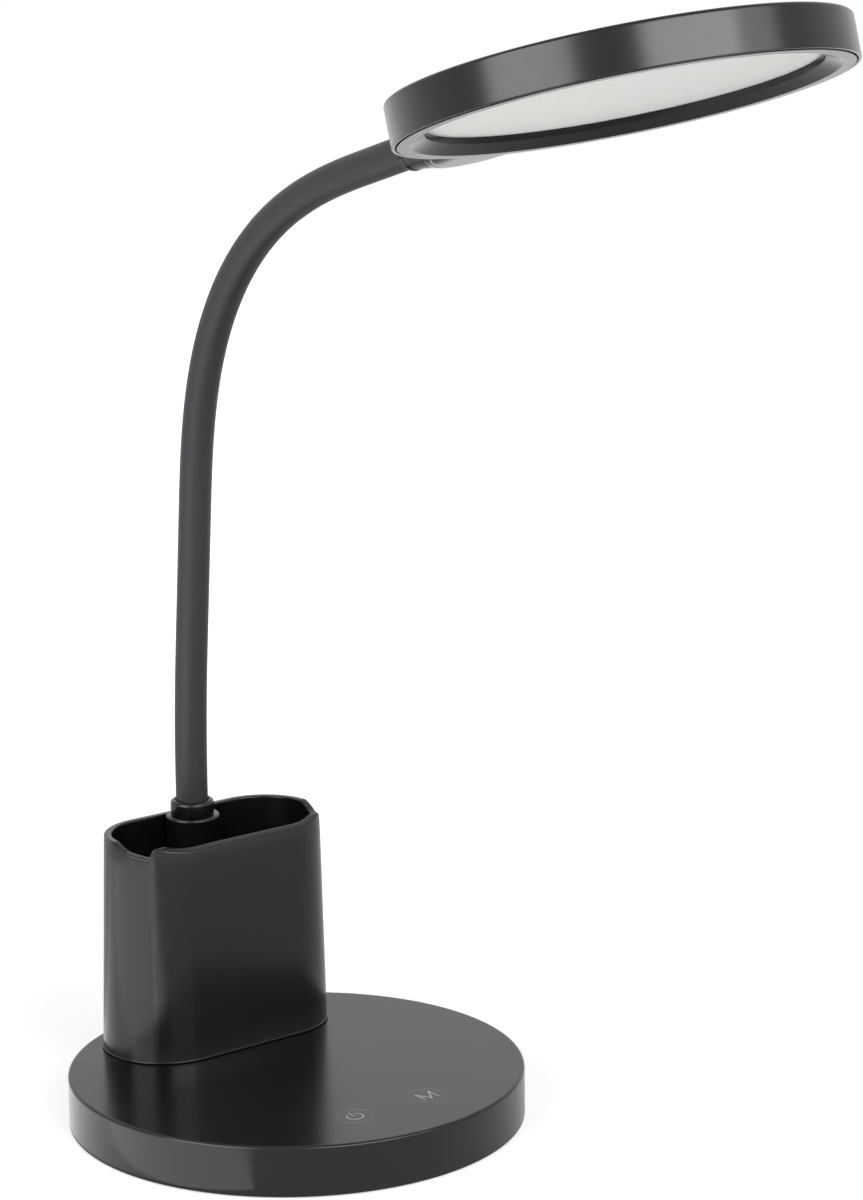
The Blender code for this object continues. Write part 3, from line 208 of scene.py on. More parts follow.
def newGroup(name, inputs, outputs):
    group = bpy.data.node_groups.new(name, "ShaderNodeTree")
    for socketName, kind, value in inputs:
        socket = group.interface.new_socket(socketName, in_out="INPUT", socket_type=kind)
        if value is not None:
            socket.default_value = value
    for socketName, kind in outputs:
        group.interface.new_socket(socketName, in_out="OUTPUT", socket_type=kind)
    return group, group.nodes.new("NodeGroupInput"), group.nodes.new("NodeGroupOutput")


def addNode(tree, kind, **settings):
    node = tree.nodes.new(kind)
    for key, value in settings.items():
        setattr(node, key, value)
    return node


def math2(tree, operation, a, b):
    node = addNode(tree, "ShaderNodeMath", operation=operation)
    for slot, value in ((0, a), (1, b)):
        if isinstance(value, (int, float)):
            node.inputs[slot].default_value = value
        else:
            tree.links.new(value, node.inputs[slot])
    return node.outputs[0]


def times(tree, a, b):
    return math2(tree, "MULTIPLY", a, b)


def mapRange(tree, value, low, high, toLow, toHigh):
    node = addNode(tree, "ShaderNodeMapRange", clamp=True)
    tree.links.new(value, node.inputs["Value"])
    for socketName, number in (("From Min", low), ("From Max", high), ("To Min", toLow), ("To Max", toHigh)):
        node.inputs[socketName].default_value = number
    return node.outputs["Result"]


def noise(tree, vector, scale, detail=3.0, roughness=0.5):
    node = addNode(tree, "ShaderNodeTexNoise")
    tree.links.new(vector, node.inputs["Vector"])
    if isinstance(scale, (int, float)):
        node.inputs["Scale"].default_value = scale
    else:
        tree.links.new(scale, node.inputs["Scale"])
    node.inputs["Detail"].default_value = detail
    node.inputs["Roughness"].default_value = roughness
    return node.outputs[0]


def mixColour(tree, share, a, b):
    node = addNode(tree, "ShaderNodeMix", data_type="RGBA", blend_type="MIX")
    for slot, value in ((0, share), (6, a), (7, b)):
        if isinstance(value, tuple):
            node.inputs[slot].default_value = (*value, 1.0)
        else:
            tree.links.new(value, node.inputs[slot])
    return node.outputs[2]


noiseLow, noiseHigh = 0.3, 0.7  # most of a noise's values lie between these


def spreadNoise(tree, value, low, high):
    return mapRange(tree, value, noiseLow, noiseHigh, low, high)


def blendOf(tree, a, shareA, b, shareB):
    return math2(tree, "ADD", times(tree, a, shareA), times(tree, b, shareB))


def tinted(colour, share):
    return tuple(c * share for c in colour)


grainMix = {
    "grainScale": 3200.0, "cloudScale": 40.0, "fineShare": 0.7, "cellShare": 0.3, "cellScale": 0.6,
    "broadScale": 6.0, "broadShare": 0.6, "cloudShare": 0.4,
}


def makeSparkGrain():
    # fine spark-eroded mould grain: a height, a gloss change and a soft colour cloud
    group, given, out = newGroup("mouldGrain", [
        ("Vector", "NodeSocketVector", None), ("Grain Scale", "NodeSocketFloat", grainMix["grainScale"]),
        ("Cloud Scale", "NodeSocketFloat", grainMix["cloudScale"])],
        [("Height", "NodeSocketFloat"), ("Gloss", "NodeSocketFloat"), ("Cloud", "NodeSocketFloat")])
    where = given.outputs["Vector"]
    grainScale, cloudScale = given.outputs["Grain Scale"], given.outputs["Cloud Scale"]
    fine = noise(group, where, grainScale, 2.0, 0.6)
    cell = addNode(group, "ShaderNodeTexVoronoi")
    group.links.new(where, cell.inputs["Vector"])
    group.links.new(times(group, grainScale, grainMix["cellScale"]), cell.inputs["Scale"])
    height = blendOf(group, fine, grainMix["fineShare"], cell.outputs["Distance"], grainMix["cellShare"])
    group.links.new(height, out.inputs["Height"])
    cloud = noise(group, where, cloudScale, 4.0, 0.55)
    group.links.new(cloud, out.inputs["Cloud"])
    broad = noise(group, where, times(group, cloudScale, grainMix["broadScale"]), 3.0, 0.5)
    gloss = blendOf(group, broad, grainMix["broadShare"], cloud, grainMix["cloudShare"])
    group.links.new(gloss, out.inputs["Gloss"])
    return group


edgeSheenAndWearMap = {"low": 0.53, "high": 0.60, "patchScale": 180.0, "patchLow": 0.35, "patchHigh": 0.7, "least": 0.25}


def makeEdgeSheenAndWear():
    # a patchy mask along outer edges, read from the mesh's own curvature: the plastic paints a highlight there in a
    # lighter colour, and takes a smoother gloss from handling wear
    group, given, out = newGroup("edgeSheenAndWear", [("Vector", "NodeSocketVector", None)], [("Edge", "NodeSocketFloat")])
    shape = addNode(group, "ShaderNodeNewGeometry")
    edge = mapRange(group, shape.outputs["Pointiness"], edgeSheenAndWearMap["low"], edgeSheenAndWearMap["high"], 0.0, 1.0)
    patches = noise(group, given.outputs["Vector"], edgeSheenAndWearMap["patchScale"], 4.0, 0.6)
    patchy = mapRange(group, patches, edgeSheenAndWearMap["patchLow"], edgeSheenAndWearMap["patchHigh"], edgeSheenAndWearMap["least"], 1.0)
    group.links.new(times(group, edge, patchy), out.inputs["Edge"])
    return group


mouldGrain = makeSparkGrain()
edgeSheenAndWear = makeEdgeSheenAndWear()


def newMaterial(name, roughness, metallic=0.0):
    material = bpy.data.materials.new(name)
    material.use_nodes = True
    tree = material.node_tree
    shader = tree.nodes["Principled BSDF"]
    shader.inputs["Roughness"].default_value = roughness
    shader.inputs["Metallic"].default_value = metallic
    where = addNode(tree, "ShaderNodeTexCoord").outputs["Object"]
    return material, tree, shader, where


def placeGroup(tree, group, where):
    node = addNode(tree, "ShaderNodeGroup", node_tree=group)
    tree.links.new(where, node.inputs["Vector"])
    return node


def placeGrain(tree, where, look):
    grain = placeGroup(tree, mouldGrain, where)
    grain.inputs["Grain Scale"].default_value = look["grainScale"]
    grain.inputs["Cloud Scale"].default_value = look["cloudScale"]
    return grain


def bumpInto(tree, shader, height, strength, distance):
    bump = addNode(tree, "ShaderNodeBump")
    bump.inputs["Strength"].default_value = strength
    bump.inputs["Distance"].default_value = distance
    tree.links.new(height, bump.inputs["Height"])
    tree.links.new(bump.outputs[0], shader.inputs["Normal"])


def dressShader(tree, shader, colour, roughness):
    tree.links.new(colour, shader.inputs["Base Color"])
    tree.links.new(roughness, shader.inputs["Roughness"])


def glossAround(tree, value, look):
    return spreadNoise(tree, value, look["roughness"] - look["spread"], look["roughness"] + look["spread"])


cloudDark, cloudPale = 0.88, 1.12  # the colour cloud's shares of the plain colour


def satinPlastic(name, look):
    # moulded plastic or rubber: fine grain, slight gloss clouds, a painted highlight in a lighter colour along the
    # edges and a smoother gloss there from handling wear
    material, tree, shader, where = newMaterial(name, look["roughness"])
    shader.inputs["IOR"].default_value = look["ior"]
    grain = placeGrain(tree, where, look)
    sheenAndWear = placeGroup(tree, edgeSheenAndWear, where)
    dark, pale = tinted(look["colour"], cloudDark), tinted(look["colour"], cloudPale)
    body = mixColour(tree, grain.outputs["Cloud"], dark, pale)
    # painted highlight: the colour turns lighter along the outer edges
    sheenedColour = mixColour(tree, times(tree, sheenAndWear.outputs[0], look["edge"]), body, look["edgeSheenColour"])
    gloss = glossAround(tree, grain.outputs["Gloss"], look)
    worn = times(tree, sheenAndWear.outputs[0], look["edgeGloss"])
    dressShader(tree, shader, sheenedColour, math2(tree, "SUBTRACT", gloss, worn))
    bumpInto(tree, shader, grain.outputs["Height"], look["grainStrength"], look["grainDepth"])
    return material


plasticLook = {
    "colour": (0.0026, 0.0026, 0.0028), "roughness": 0.22, "spread": 0.02, "ior": 1.40,
    "grainScale": 3600.0, "cloudScale": 45.0, "grainStrength": 0.12, "grainDepth": 0.00003,
    # the edge share and colour paint a highlight along the outer edges; the edge gloss makes them smoother, as handling
    # wears them
    "edge": 0.5, "edgeSheenColour": (0.022, 0.022, 0.024), "edgeGloss": 0.05,
}
rubberLook = {
    "colour": (0.0105, 0.0105, 0.0135), "roughness": 0.48, "spread": 0.05, "ior": 1.40,
    "grainScale": 2600.0, "cloudScale": 60.0, "grainStrength": 0.25, "grainDepth": 0.00004,
    "edge": 0.0, "edgeSheenColour": (0.05, 0.05, 0.055), "edgeGloss": 0.0,
}
padLook = dict(rubberLook, colour=(0.018, 0.018, 0.018), roughness=0.8, grainStrength=0.5)

satinBlack = satinPlastic("satinBlack", plasticLook)
sleeveRubber = satinPlastic("sleeveRubber", rubberLook)
padRubber = satinPlastic("padRubber", padLook)
keyFace = satinPlastic("keyFace", dict(plasticLook, roughness=0.21))
# painted shade: the same satin black with a weaker reflection, so the bezel's inner cone renders darker
shadedBezelBlack = satinPlastic("shadedBezelBlack", dict(plasticLook, ior=1.28))

frostLook = {
    "colour": (0.755, 0.755, 0.73), "dark": 0.97, "roughness": 0.5, "spread": 0.05,
    "scatter": 0.3, "scatterDepth": 0.002, "grainScale": 2400.0, "cloudScale": 30.0,
    "grainStrength": 0.2, "grainDepth": 0.00005,
}
inkLook = {
    "colour": (0.42, 0.42, 0.42), "dark": 0.86, "roughness": 0.5, "smooth": 0.42, "rough": 0.56,
    "speckScale": 5200.0, "speckLow": 0.35, "speckHigh": 0.65, "bump": 0.2, "depth": 0.00002,
}


def frostedPlastic(name, look):
    # opal diffuser sheet: soft depth, a faint pitted surface
    material, tree, shader, where = newMaterial(name, look["roughness"])
    shader.inputs["Subsurface Weight"].default_value = look["scatter"]
    shader.inputs["Subsurface Radius"].default_value = (1.0, 1.0, 1.0)
    shader.inputs["Subsurface Scale"].default_value = look["scatterDepth"]
    grain = placeGrain(tree, where, look)
    body = mixColour(tree, grain.outputs["Cloud"], tinted(look["colour"], look["dark"]), look["colour"])
    dressShader(tree, shader, body, glossAround(tree, grain.outputs["Gloss"], look))
    bumpInto(tree, shader, grain.outputs["Height"], look["grainStrength"], look["grainDepth"])
    return material


def printInk(name, look):
    material, tree, shader, where = newMaterial(name, look["roughness"])
    speck = noise(tree, where, look["speckScale"], 2.0, 0.6)
    share = mapRange(tree, speck, look["speckLow"], look["speckHigh"], 0.0, 1.0)
    body = mixColour(tree, share, tinted(look["colour"], look["dark"]), look["colour"])
    dressShader(tree, shader, body, spreadNoise(tree, speck, look["smooth"], look["rough"]))
    bumpInto(tree, shader, speck, look["bump"], look["depth"])
    return material


opalSheet = frostedPlastic("opalSheet", frostLook)
paleInk = printInk("paleInk", inkLook)


def metalFinish(name, look):
    # turned or drawn metal: fine lines one way, small stains and a soft gloss change
    material, tree, shader, where = newMaterial(name, look["roughness"], 1.0)
    stretch = addNode(tree, "ShaderNodeMapping")
    stretch.inputs["Scale"].default_value = look["stretch"]
    tree.links.new(where, stretch.inputs["Vector"])
    lines = noise(tree, stretch.outputs[0], look["lineScale"], 3.0, 0.7)
    stain = noise(tree, where, look["stainScale"], 4.0, 0.6)
    stained = mapRange(tree, stain, look["stainLow"], look["stainHigh"], 0.0, 1.0)
    tone = mixColour(tree, stained, look["colour"], look["stain"])
    lineShare = spreadNoise(tree, lines, 0.0, look["lineShare"])
    body = mixColour(tree, lineShare, tone, tinted(look["colour"], look["lineDark"]))
    gloss = spreadNoise(tree, lines, look["roughness"] - look["smoother"], look["roughness"] + look["rougher"])
    dressShader(tree, shader, body, gloss)
    bumpInto(tree, shader, lines, look["bump"], look["depth"])
    return material


steelLook = {
    "colour": (0.55, 0.55, 0.56), "stain": (0.46, 0.46, 0.44), "stainScale": 300.0, "stainLow": 0.35,
    "stainHigh": 0.7, "roughness": 0.32, "smoother": 0.08, "rougher": 0.1, "stretch": (1.0, 1.0, 12.0),
    "lineScale": 900.0, "lineShare": 0.35, "lineDark": 0.7, "bump": 0.15, "depth": 0.00003,
}
aluminiumLook = dict(steelLook, colour=(0.60, 0.60, 0.61), stain=(0.52, 0.52, 0.53), roughness=0.38)
ironLook = dict(steelLook, colour=(0.16, 0.155, 0.15), stain=(0.10, 0.07, 0.05), roughness=0.62,
                stretch=(1.0, 1.0, 1.0), lineScale=1400.0, stainScale=90.0, bump=0.6)
goldLook = dict(steelLook, colour=(0.75, 0.55, 0.22), stain=(0.70, 0.50, 0.20), roughness=0.25)

zincSteel = metalFinish("zincSteel", steelLook)
drawnAluminium = metalFinish("drawnAluminium", aluminiumLook)
castIron = metalFinish("castIron", ironLook)
goldPlate = metalFinish("goldPlate", goldLook)

boardLook = {
    "mask": (0.012, 0.10, 0.045), "track": (0.03, 0.20, 0.09), "roughness": 0.38, "spread": 0.06,
    "trackScale": 260.0, "trackWidth": 0.035, "trackShare": 0.6, "viaScale": 420.0, "viaCore": 0.10,
    "viaRim": 0.14, "viaColour": (0.55, 0.52, 0.42), "clothScale": 500.0, "bump": 0.3, "depth": 0.00003,
}


def boardFinish(name, look):
    # a printed board: solder mask over faint copper tracks, small via dots
    material, tree, shader, where = newMaterial(name, look["roughness"])
    brick = addNode(tree, "ShaderNodeTexBrick")
    tree.links.new(where, brick.inputs["Vector"])
    brick.inputs["Scale"].default_value = look["trackScale"]
    brick.inputs["Mortar Size"].default_value = look["trackWidth"]
    brick.inputs["Color1"].default_value = (0, 0, 0, 1)
    brick.inputs["Color2"].default_value = (0, 0, 0, 1)
    brick.inputs["Mortar"].default_value = (1, 1, 1, 1)
    dots = addNode(tree, "ShaderNodeTexVoronoi")
    tree.links.new(where, dots.inputs["Vector"])
    dots.inputs["Scale"].default_value = look["viaScale"]
    via = mapRange(tree, dots.outputs["Distance"], look["viaCore"], look["viaRim"], 1.0, 0.0)
    trackShare = times(tree, brick.outputs["Color"], look["trackShare"])
    lines = mixColour(tree, trackShare, look["mask"], look["track"])
    gloss = glossAround(tree, noise(tree, where, look["clothScale"]), look)
    dressShader(tree, shader, mixColour(tree, via, lines, look["viaColour"]), gloss)
    bumpInto(tree, shader, math2(tree, "ADD", brick.outputs["Color"], via), look["bump"], look["depth"])
    return material


whiteBoardLook = dict(boardLook, mask=(0.78, 0.78, 0.76), track=(0.70, 0.70, 0.67), roughness=0.42)
greenBoard = boardFinish("greenBoard", boardLook)
whiteBoard = boardFinish("whiteBoard", whiteBoardLook)

foilLook = {
    "colour": (0.63, 0.64, 0.66), "hollowShade": (0.48, 0.49, 0.51), "metallic": 0.85, "roughness": 0.34,
    "smooth": 0.28, "rough": 0.42, "wrinkleScale": 140.0, "weaveScale": 1500.0, "weave": 0.15,
    "bump": 0.5, "depth": 0.0004,
}
jacketLook = {
    "colour": (0.40, 0.025, 0.02), "dark": 0.8, "roughness": 0.45, "smooth": 0.38, "rough": 0.52,
    "cloudScale": 400.0, "grainScale": 2600.0, "bump": 0.2, "depth": 0.00003,
}


def foilPouch(name, look):
    # laminate pouch of a flat cell: soft wrinkles and a stamped weave, with painted shade darkening the colour in the
    # wrinkles' hollows
    material, tree, shader, where = newMaterial(name, look["roughness"], look["metallic"])
    wrinkle = noise(tree, where, look["wrinkleScale"], 5.0, 0.65)
    weave = noise(tree, where, look["weaveScale"], 2.0, 0.5)
    # painted shade: the colour is darker where the wrinkles sink
    body = mixColour(tree, spreadNoise(tree, wrinkle, 0.0, 1.0), look["hollowShade"], look["colour"])
    dressShader(tree, shader, body, spreadNoise(tree, wrinkle, look["smooth"], look["rough"]))
    height = math2(tree, "ADD", wrinkle, times(tree, weave, look["weave"]))
    bumpInto(tree, shader, height, look["bump"], look["depth"])
    return material


def leadJacket(name, look):
    material, tree, shader, where = newMaterial(name, look["roughness"])
    cloud = noise(tree, where, look["cloudScale"], 3.0)
    share = spreadNoise(tree, cloud, 0.0, 1.0)
    body = mixColour(tree, share, tinted(look["colour"], look["dark"]), look["colour"])
    dressShader(tree, shader, body, spreadNoise(tree, cloud, look["smooth"], look["rough"]))
    bumpInto(tree, shader, noise(tree, where, look["grainScale"], 2.0), look["bump"], look["depth"])
    return material


cellFoil = foilPouch("cellFoil", foilLook)
redJacket = leadJacket("redJacket", jacketLook)
print("materials ready")


# base

base = {
    "radius": 0.0699, "height": 0.01595, "wall": 0.0022, "edge": 0.0009, "lift": 0.0005,
    "lowRound": 0.0003, "innerRound": 0.0004, "steps": 240,
    "keyX": 0.01355, "keyY": -0.0470, "keyRadius": 0.0058, "keyThick": 0.0007, "gap": 0.00001,
    "socketZ": 0.00833, "socketWidth": 0.00894, "socketHeight": 0.00326, "mouthSteps": 12,
    "lightX": 0.0090, "lightRadius": 0.0010, "columnScrewX": 0.0235, "columnY": 0.04225,
    "leadY": 0.0523, "leadHole": 0.0022, "overlap": 0.001,
}
toBack = Matrix.Translation((0, 0, base["socketZ"])) @ Matrix.Rotation(math.radians(-90), 4, "X")


def makeBaseShell():
    inner, top, outside = base["radius"] - base["wall"], base["height"], base["radius"] + toolReach
    below, above = top - base["wall"] - base["overlap"], top + toolReach
    bm = turnedBody([
        (0.0, top, 0, 0),
        (base["radius"], top, base["edge"], 8),
        (base["radius"], base["lift"], base["lowRound"], 3),
        (inner, base["lift"], 0, 0),
        (inner, top - base["wall"], base["innerRound"], 2),
        (0.0, top - base["wall"], 0, 0),
    ], base["steps"], closed=False)
    shell = meshPiece("lampBaseShell", bm, satinBlack)
    for side in (-1, 1):
        carveRound(shell, base["keyRadius"] + base["gap"], 72, side * base["keyX"], base["keyY"],
                   top - base["keyThick"] - base["gap"], above)
        carveRound(shell, screwHole, holeSteps, side * base["columnScrewX"], base["columnY"], below, above)
    carveRound(shell, base["leadHole"], holeSteps, 0.0, base["leadY"], below, above)
    halfW, halfH = base["socketWidth"] / 2 + seatGap, base["socketHeight"] / 2 + seatGap
    mouth = []
    for side, start in ((1, -90), (-1, 90)):
        for i in range(base["mouthSteps"] + 1):
            angle = math.radians(start + 180 * i / base["mouthSteps"])
            mouth.append((side * (halfW - halfH) + halfH * math.cos(angle), halfH * math.sin(angle)))
    carve(shell, prismTool("mouthTool", mouth, inner - toolReach, outside, toBack))
    carveRound(shell, base["lightRadius"] + seatGap, 28, base["lightX"], 0.0, inner - toolReach, outside, toBack)
    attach(shell, "stand")
    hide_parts("base_shell")


makeBaseShell()

footPad = {
    "radius": 0.06655, "thick": 0.0012, "grooveIn": 0.050, "grooveOut": 0.052, "groove": 0.0003,
    "lowRound": 0.0003, "topRound": 0.0002, "steps": 160,
}


def makeFootPad():
    radius, thick, groove = footPad["radius"], footPad["thick"], footPad["groove"]
    bm = turnedBody([
        (0.0, 0.0, 0, 0), (footPad["grooveIn"], 0.0, 0, 0), (footPad["grooveIn"] + groove, groove, 0, 0),
        (footPad["grooveOut"] - groove, groove, 0, 0), (footPad["grooveOut"], 0.0, 0, 0),
        (radius, 0.0, footPad["lowRound"], 4), (radius, thick, footPad["topRound"], 3),
        (0.0, thick, 0, 0)], footPad["steps"], closed=False)
    meshPiece("lampFootPad", bm, padRubber, "stand", ["foot_pad"])


makeFootPad()

keys = {
    "radius": 0.0058, "thick": 0.0007, "edge": 0.00008, "ink": 0.00002, "stroke": 0.00042, "hairline": 0.00006,
    "steps": 96, "ringRadius": 0.0027, "ringGap": 70.0, "barLength": 0.0022,
    "letterWidth": 0.0055, "letterHeight": 0.0052,
    "shoulder": 1.1, "notch": 1.9, "valley": 0.45, "peak": 1.6,  # the letter's corners, in strokes
}


def keyDisc(name, x, node, drawSymbol):
    top = base["height"]
    bm = turnedBody([
        (0.0, top, 0, 0), (keys["radius"], top, keys["edge"], 4),
        (keys["radius"], top - keys["thick"], 0, 0), (0.0, top - keys["thick"], 0, 0)], keys["steps"], closed=False)
    plain = len(bm.faces)
    drawSymbol(bm, top)
    printedArc(bm, keys["radius"] - keys["edge"], keys["hairline"], 1.0, keys["steps"], top)
    for i, face in enumerate(bm.faces):
        face.material_index = 0 if i < plain else 1
    piece = meshPiece(name, bm, keyFace, place=Matrix.Translation((x, base["keyY"], 0)))
    piece.data.materials.append(paleInk)
    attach(piece, "stand")
    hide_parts(node)


def printInked(bm, points, top):
    extrudeOutline(bm, points, top - keys["ink"], top + keys["ink"])


def printedArc(bm, outer, stroke, gap, steps, top):
    start, sweep = 90 + gap / 2, 360 - gap
    ring = []
    for radius, order in ((outer, range(steps + 1)), (outer - stroke, range(steps, -1, -1))):
        for i in order:
            angle = math.radians(start + sweep * i / steps)
            ring.append((radius * math.cos(angle), radius * math.sin(angle)))
    printInked(bm, ring, top)


def powerSymbol(bm, top):
    printedArc(bm, keys["ringRadius"], keys["stroke"], keys["ringGap"], 40, top)
    half, high = keys["stroke"] / 2, keys["ringRadius"] + keys["stroke"]
    low = high - keys["barLength"]
    printInked(bm, [(-half, low), (half, low), (half, high), (-half, high)], top)


def letterSymbol(bm, top):
    w, h, s = keys["letterWidth"] / 2, keys["letterHeight"] / 2, keys["stroke"]
    right = [(w - s * keys["shoulder"], h), (w, h), (w, -h), (w - s, -h),
             (w - s, h - s * keys["notch"]), (s * keys["valley"], -h)]
    left = [(-x, y) for x, y in reversed(right)]
    printInked(bm, [(0.0, -h + s * keys["peak"])] + right + left, top)


keyDisc("lampPowerKey", -base["keyX"], "power_key", powerSymbol)
keyDisc("lampModeKey", base["keyX"], "mode_key", letterSymbol)

socket = {
    "width": 0.00894, "height": 0.00326, "wall": 0.00035, "depth": 0.0073, "backY": 0.06935, "flat": 0.0001,
    "mouthEdge": 0.00009, "tongueWidth": 0.0060, "tongueThick": 0.0007, "tongueRound": 0.6, "contacts": 12,
    "pitch": 0.0005, "contactAt": 0.0036, "contactSize": (0.00028, 0.00006, 0.0050), "overrun": 0.002,
}


def pillOutline(halfW, halfH, radius, steps=10):
    points = []
    for cx, cy, start in ((1, 1, 0), (-1, 1, 90), (-1, -1, 180), (1, -1, 270)):
        for i in range(steps + 1):
            angle = math.radians(start + 90 * i / steps)
            x, y = radius * math.cos(angle), radius * math.sin(angle)
            points.append((cx * (halfW - radius) + x, cy * (halfH - radius) + y))
    return points


def makeTongue(front, back):
    # the tongue's mesh with its contacts, and how many of its first faces are plain plastic
    bm = bmesh.new()
    halfW, halfH = socket["tongueWidth"] / 2, socket["tongueThick"] / 2
    outline = pillOutline(halfW, halfH, halfH * socket["tongueRound"], 3)
    extrudeOutline(bm, outline, front + socket["wall"], back - 2 * socket["wall"])
    plain = len(bm.faces)
    size = Matrix.Diagonal((*socket["contactSize"], 1))
    for side in (-1, 1):
        for i in range(socket["contacts"]):
            x = (i - (socket["contacts"] - 1) / 2) * socket["pitch"]
            at = Matrix.Translation((x, side * halfH, front + socket["wall"] + socket["contactAt"]))
            bmesh.ops.create_cube(bm, size=1.0, matrix=at @ size)
    bmesh.ops.transform(bm, matrix=toBack, verts=bm.verts)
    mesh = bpy.data.meshes.new("tongue")
    bm.to_mesh(mesh)
    bm.free()
    return mesh, plain


def makeSocket():
    w, h, wall = socket["width"] / 2, socket["height"] / 2, socket["wall"]
    front, back = socket["backY"] - socket["depth"], socket["backY"]
    bm = bmesh.new()
    extrudeOutline(bm, pillOutline(w, h, h - socket["flat"]), front, back)
    shell = meshPiece("lampChargeSocket", bm, zincSteel, place=toBack)
    inside = pillOutline(w - wall, h - wall, h - wall - socket["flat"])
    carve(shell, prismTool("socketTool", inside, front + 2 * wall, back + socket["overrun"], toBack))
    whole = bmesh.new()
    whole.from_mesh(shell.data)
    mouth = [e for e in whole.edges if all(abs(v.co.y - back) < 1e-6 for v in e.verts)]
    bmesh.ops.bevel(whole, geom=mouth, offset=socket["mouthEdge"], segments=2, profile=0.5,
                    affect="EDGES", material=-1)
    steelFaces = len(whole.faces)
    tongue, tongueFaces = makeTongue(front, back)
    whole.from_mesh(tongue)
    bpy.data.meshes.remove(tongue)
    whole.faces.ensure_lookup_table()
    for i in range(steelFaces, len(whole.faces)):
        whole.faces[i].material_index = 1 if i < steelFaces + tongueFaces else 2
    bmesh.ops.recalc_face_normals(whole, faces=whole.faces)
    whole.to_mesh(shell.data)
    whole.free()
    shell.data.materials.clear()
    for finish in (zincSteel, satinBlack, goldPlate):
        shell.data.materials.append(finish)
    shadePiece(shell)
    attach(shell, "stand")
    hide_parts("charge_socket")


makeSocket()
print("base ready")


# column

column = {
    "halfRun": 0.0187, "footRadius": 0.01995, "topRadius": 0.01825, "y": 0.04225, "low": 0.01625, "top": 0.08475,
    "wall": 0.0024, "floor": 0.02425, "topAhead": 0.0008, "segments": 120, "rimRound": 0.0005,
    "lip": 0.0003, "lipHeight": 0.0004,  # the lip round the foot; its curves are steps up and out
    "lipCurve": ((-0.00014, 0.0), (-0.00004, -0.00005), (0.0, -0.00016)),
    "wallCurve": ((0.00006, 0.00005), (0.0003, 0.0)), "wallSteps": 10,
    "floorCurve": ((0.002, 0.0), (0.0007, -0.00045), (0.0002, -0.0012), (0.0, -0.0022)),
    "frontDrop": 0.0023, "lipY": 0.0284, "lipRise": 0.0001, "lipRound": 0.0010,
    "grooveY": 0.0299, "grooveDepth": 0.0037, "grooveAhead": 0.0003, "grooveRound": 0.0006,
    "seatRun": 0.0071, "seatRise": 0.0014, "seatRound": 0.0020, "rampRun": 0.00525, "rampRound": 0.0030,
    "pillarRadius": 0.0085, "pillarRound": 0.0008, "neckY": 0.0523, "boreRadius": 0.0041,
    "pocketRadius": 0.0066, "pocketTop": 0.06675, "pilotTop": 0.02185, "overlap": 0.002,
}


def rimCurve():
    # the rim's height along y: falls to the front, a rounded lip, the phone groove, a ramp and the flat back
    top, front = column["top"], column["y"] - column["footRadius"]
    seatY, grooveZ = column["grooveY"] + column["seatRun"], top - column["grooveDepth"]
    corners = [
        (front, top - column["frontDrop"], 0, 0),
        (column["lipY"], top + column["lipRise"], column["lipRound"], 6),
        (column["grooveY"] - column["grooveAhead"], grooveZ, column["grooveRound"], 5),
        (seatY, grooveZ + column["seatRise"], column["seatRound"], 4),
        (seatY + column["rampRun"], top, column["rampRound"], 5),
        (column["y"] + column["footRadius"], top, 0, 0),
    ]
    return roundedProfile(corners, closed=False)


rimPath = rimCurve()


def rimHeight(y):
    if y <= rimPath[0][0]:
        return rimPath[0][1]
    for (y0, z0), (y1, z1) in zip(rimPath, rimPath[1:]):
        if y <= y1:
            return z0 + (z1 - z0) * (y - y0) / max(y1 - y0, 1e-9)
    return rimPath[-1][1]


def columnRadius(z):
    share = (z - column["low"]) / (column["top"] - column["low"])
    return column["footRadius"] + (column["topRadius"] - column["footRadius"]) * share


def columnY(z):
    # the front stands upright while the back leans in, so the middle moves ahead with height
    return column["y"] - column["topAhead"] * (z - column["low"]) / (column["top"] - column["low"])


def columnLayers():
    # (height, offset from the column's radius) of every ring, up the outside and down the inside
    low, top, wall, r = column["low"], column["top"], column["wall"], column["rimRound"]
    flangeTop, count = low + column["lipHeight"], column["wallSteps"]
    layers = [(low, column["lip"])]
    layers += [(flangeTop + up, column["lip"] + out) for up, out in column["lipCurve"]]
    layers += [(flangeTop + up, out) for up, out in column["wallCurve"]]
    wallLow, wallHigh = layers[-1][0], top - r
    layers += [(wallLow + (wallHigh - wallLow) * i / count, 0.0) for i in range(1, count + 1)]
    quarter = [math.radians(22.5 * i) for i in range(5)]
    layers += [(wallHigh + r * math.sin(a), -r + r * math.cos(a)) for a in quarter[1:]]
    layers += [(wallHigh + r * math.sin(a), -wall + r - r * math.cos(a)) for a in reversed(quarter)]
    return layers + [(column["floor"] + up, -wall + out) for up, out in column["floorCurve"]]


def columnRing(bm, z, offset):
    return stadiumLoop(bm, column["halfRun"], columnRadius(z) + offset, z, columnY(z), column["segments"])


def makePillar():
    # the round pillar that carries the neck, cut off where it would leave the column's wall
    high, foot = column["top"], column["floor"] - column["overlap"]
    bm = turnedBody([
        (0.0, foot, 0, 0), (column["pillarRadius"], foot, 0, 0),
        (column["pillarRadius"], high, column["pillarRound"], 5), (0.0, high, 0, 0)], 72, closed=False)
    pillar = solidFrom("pillarTool", bm, Matrix.Translation((0, column["neckY"], 0)))
    bm = bmesh.new()
    bridgeRings(bm, [columnRing(bm, z, -column["wall"] / 2) for z in (column["low"], high + toolReach)])
    carve(pillar, solidFrom("limitTool", bm), "INTERSECT")
    return pillar


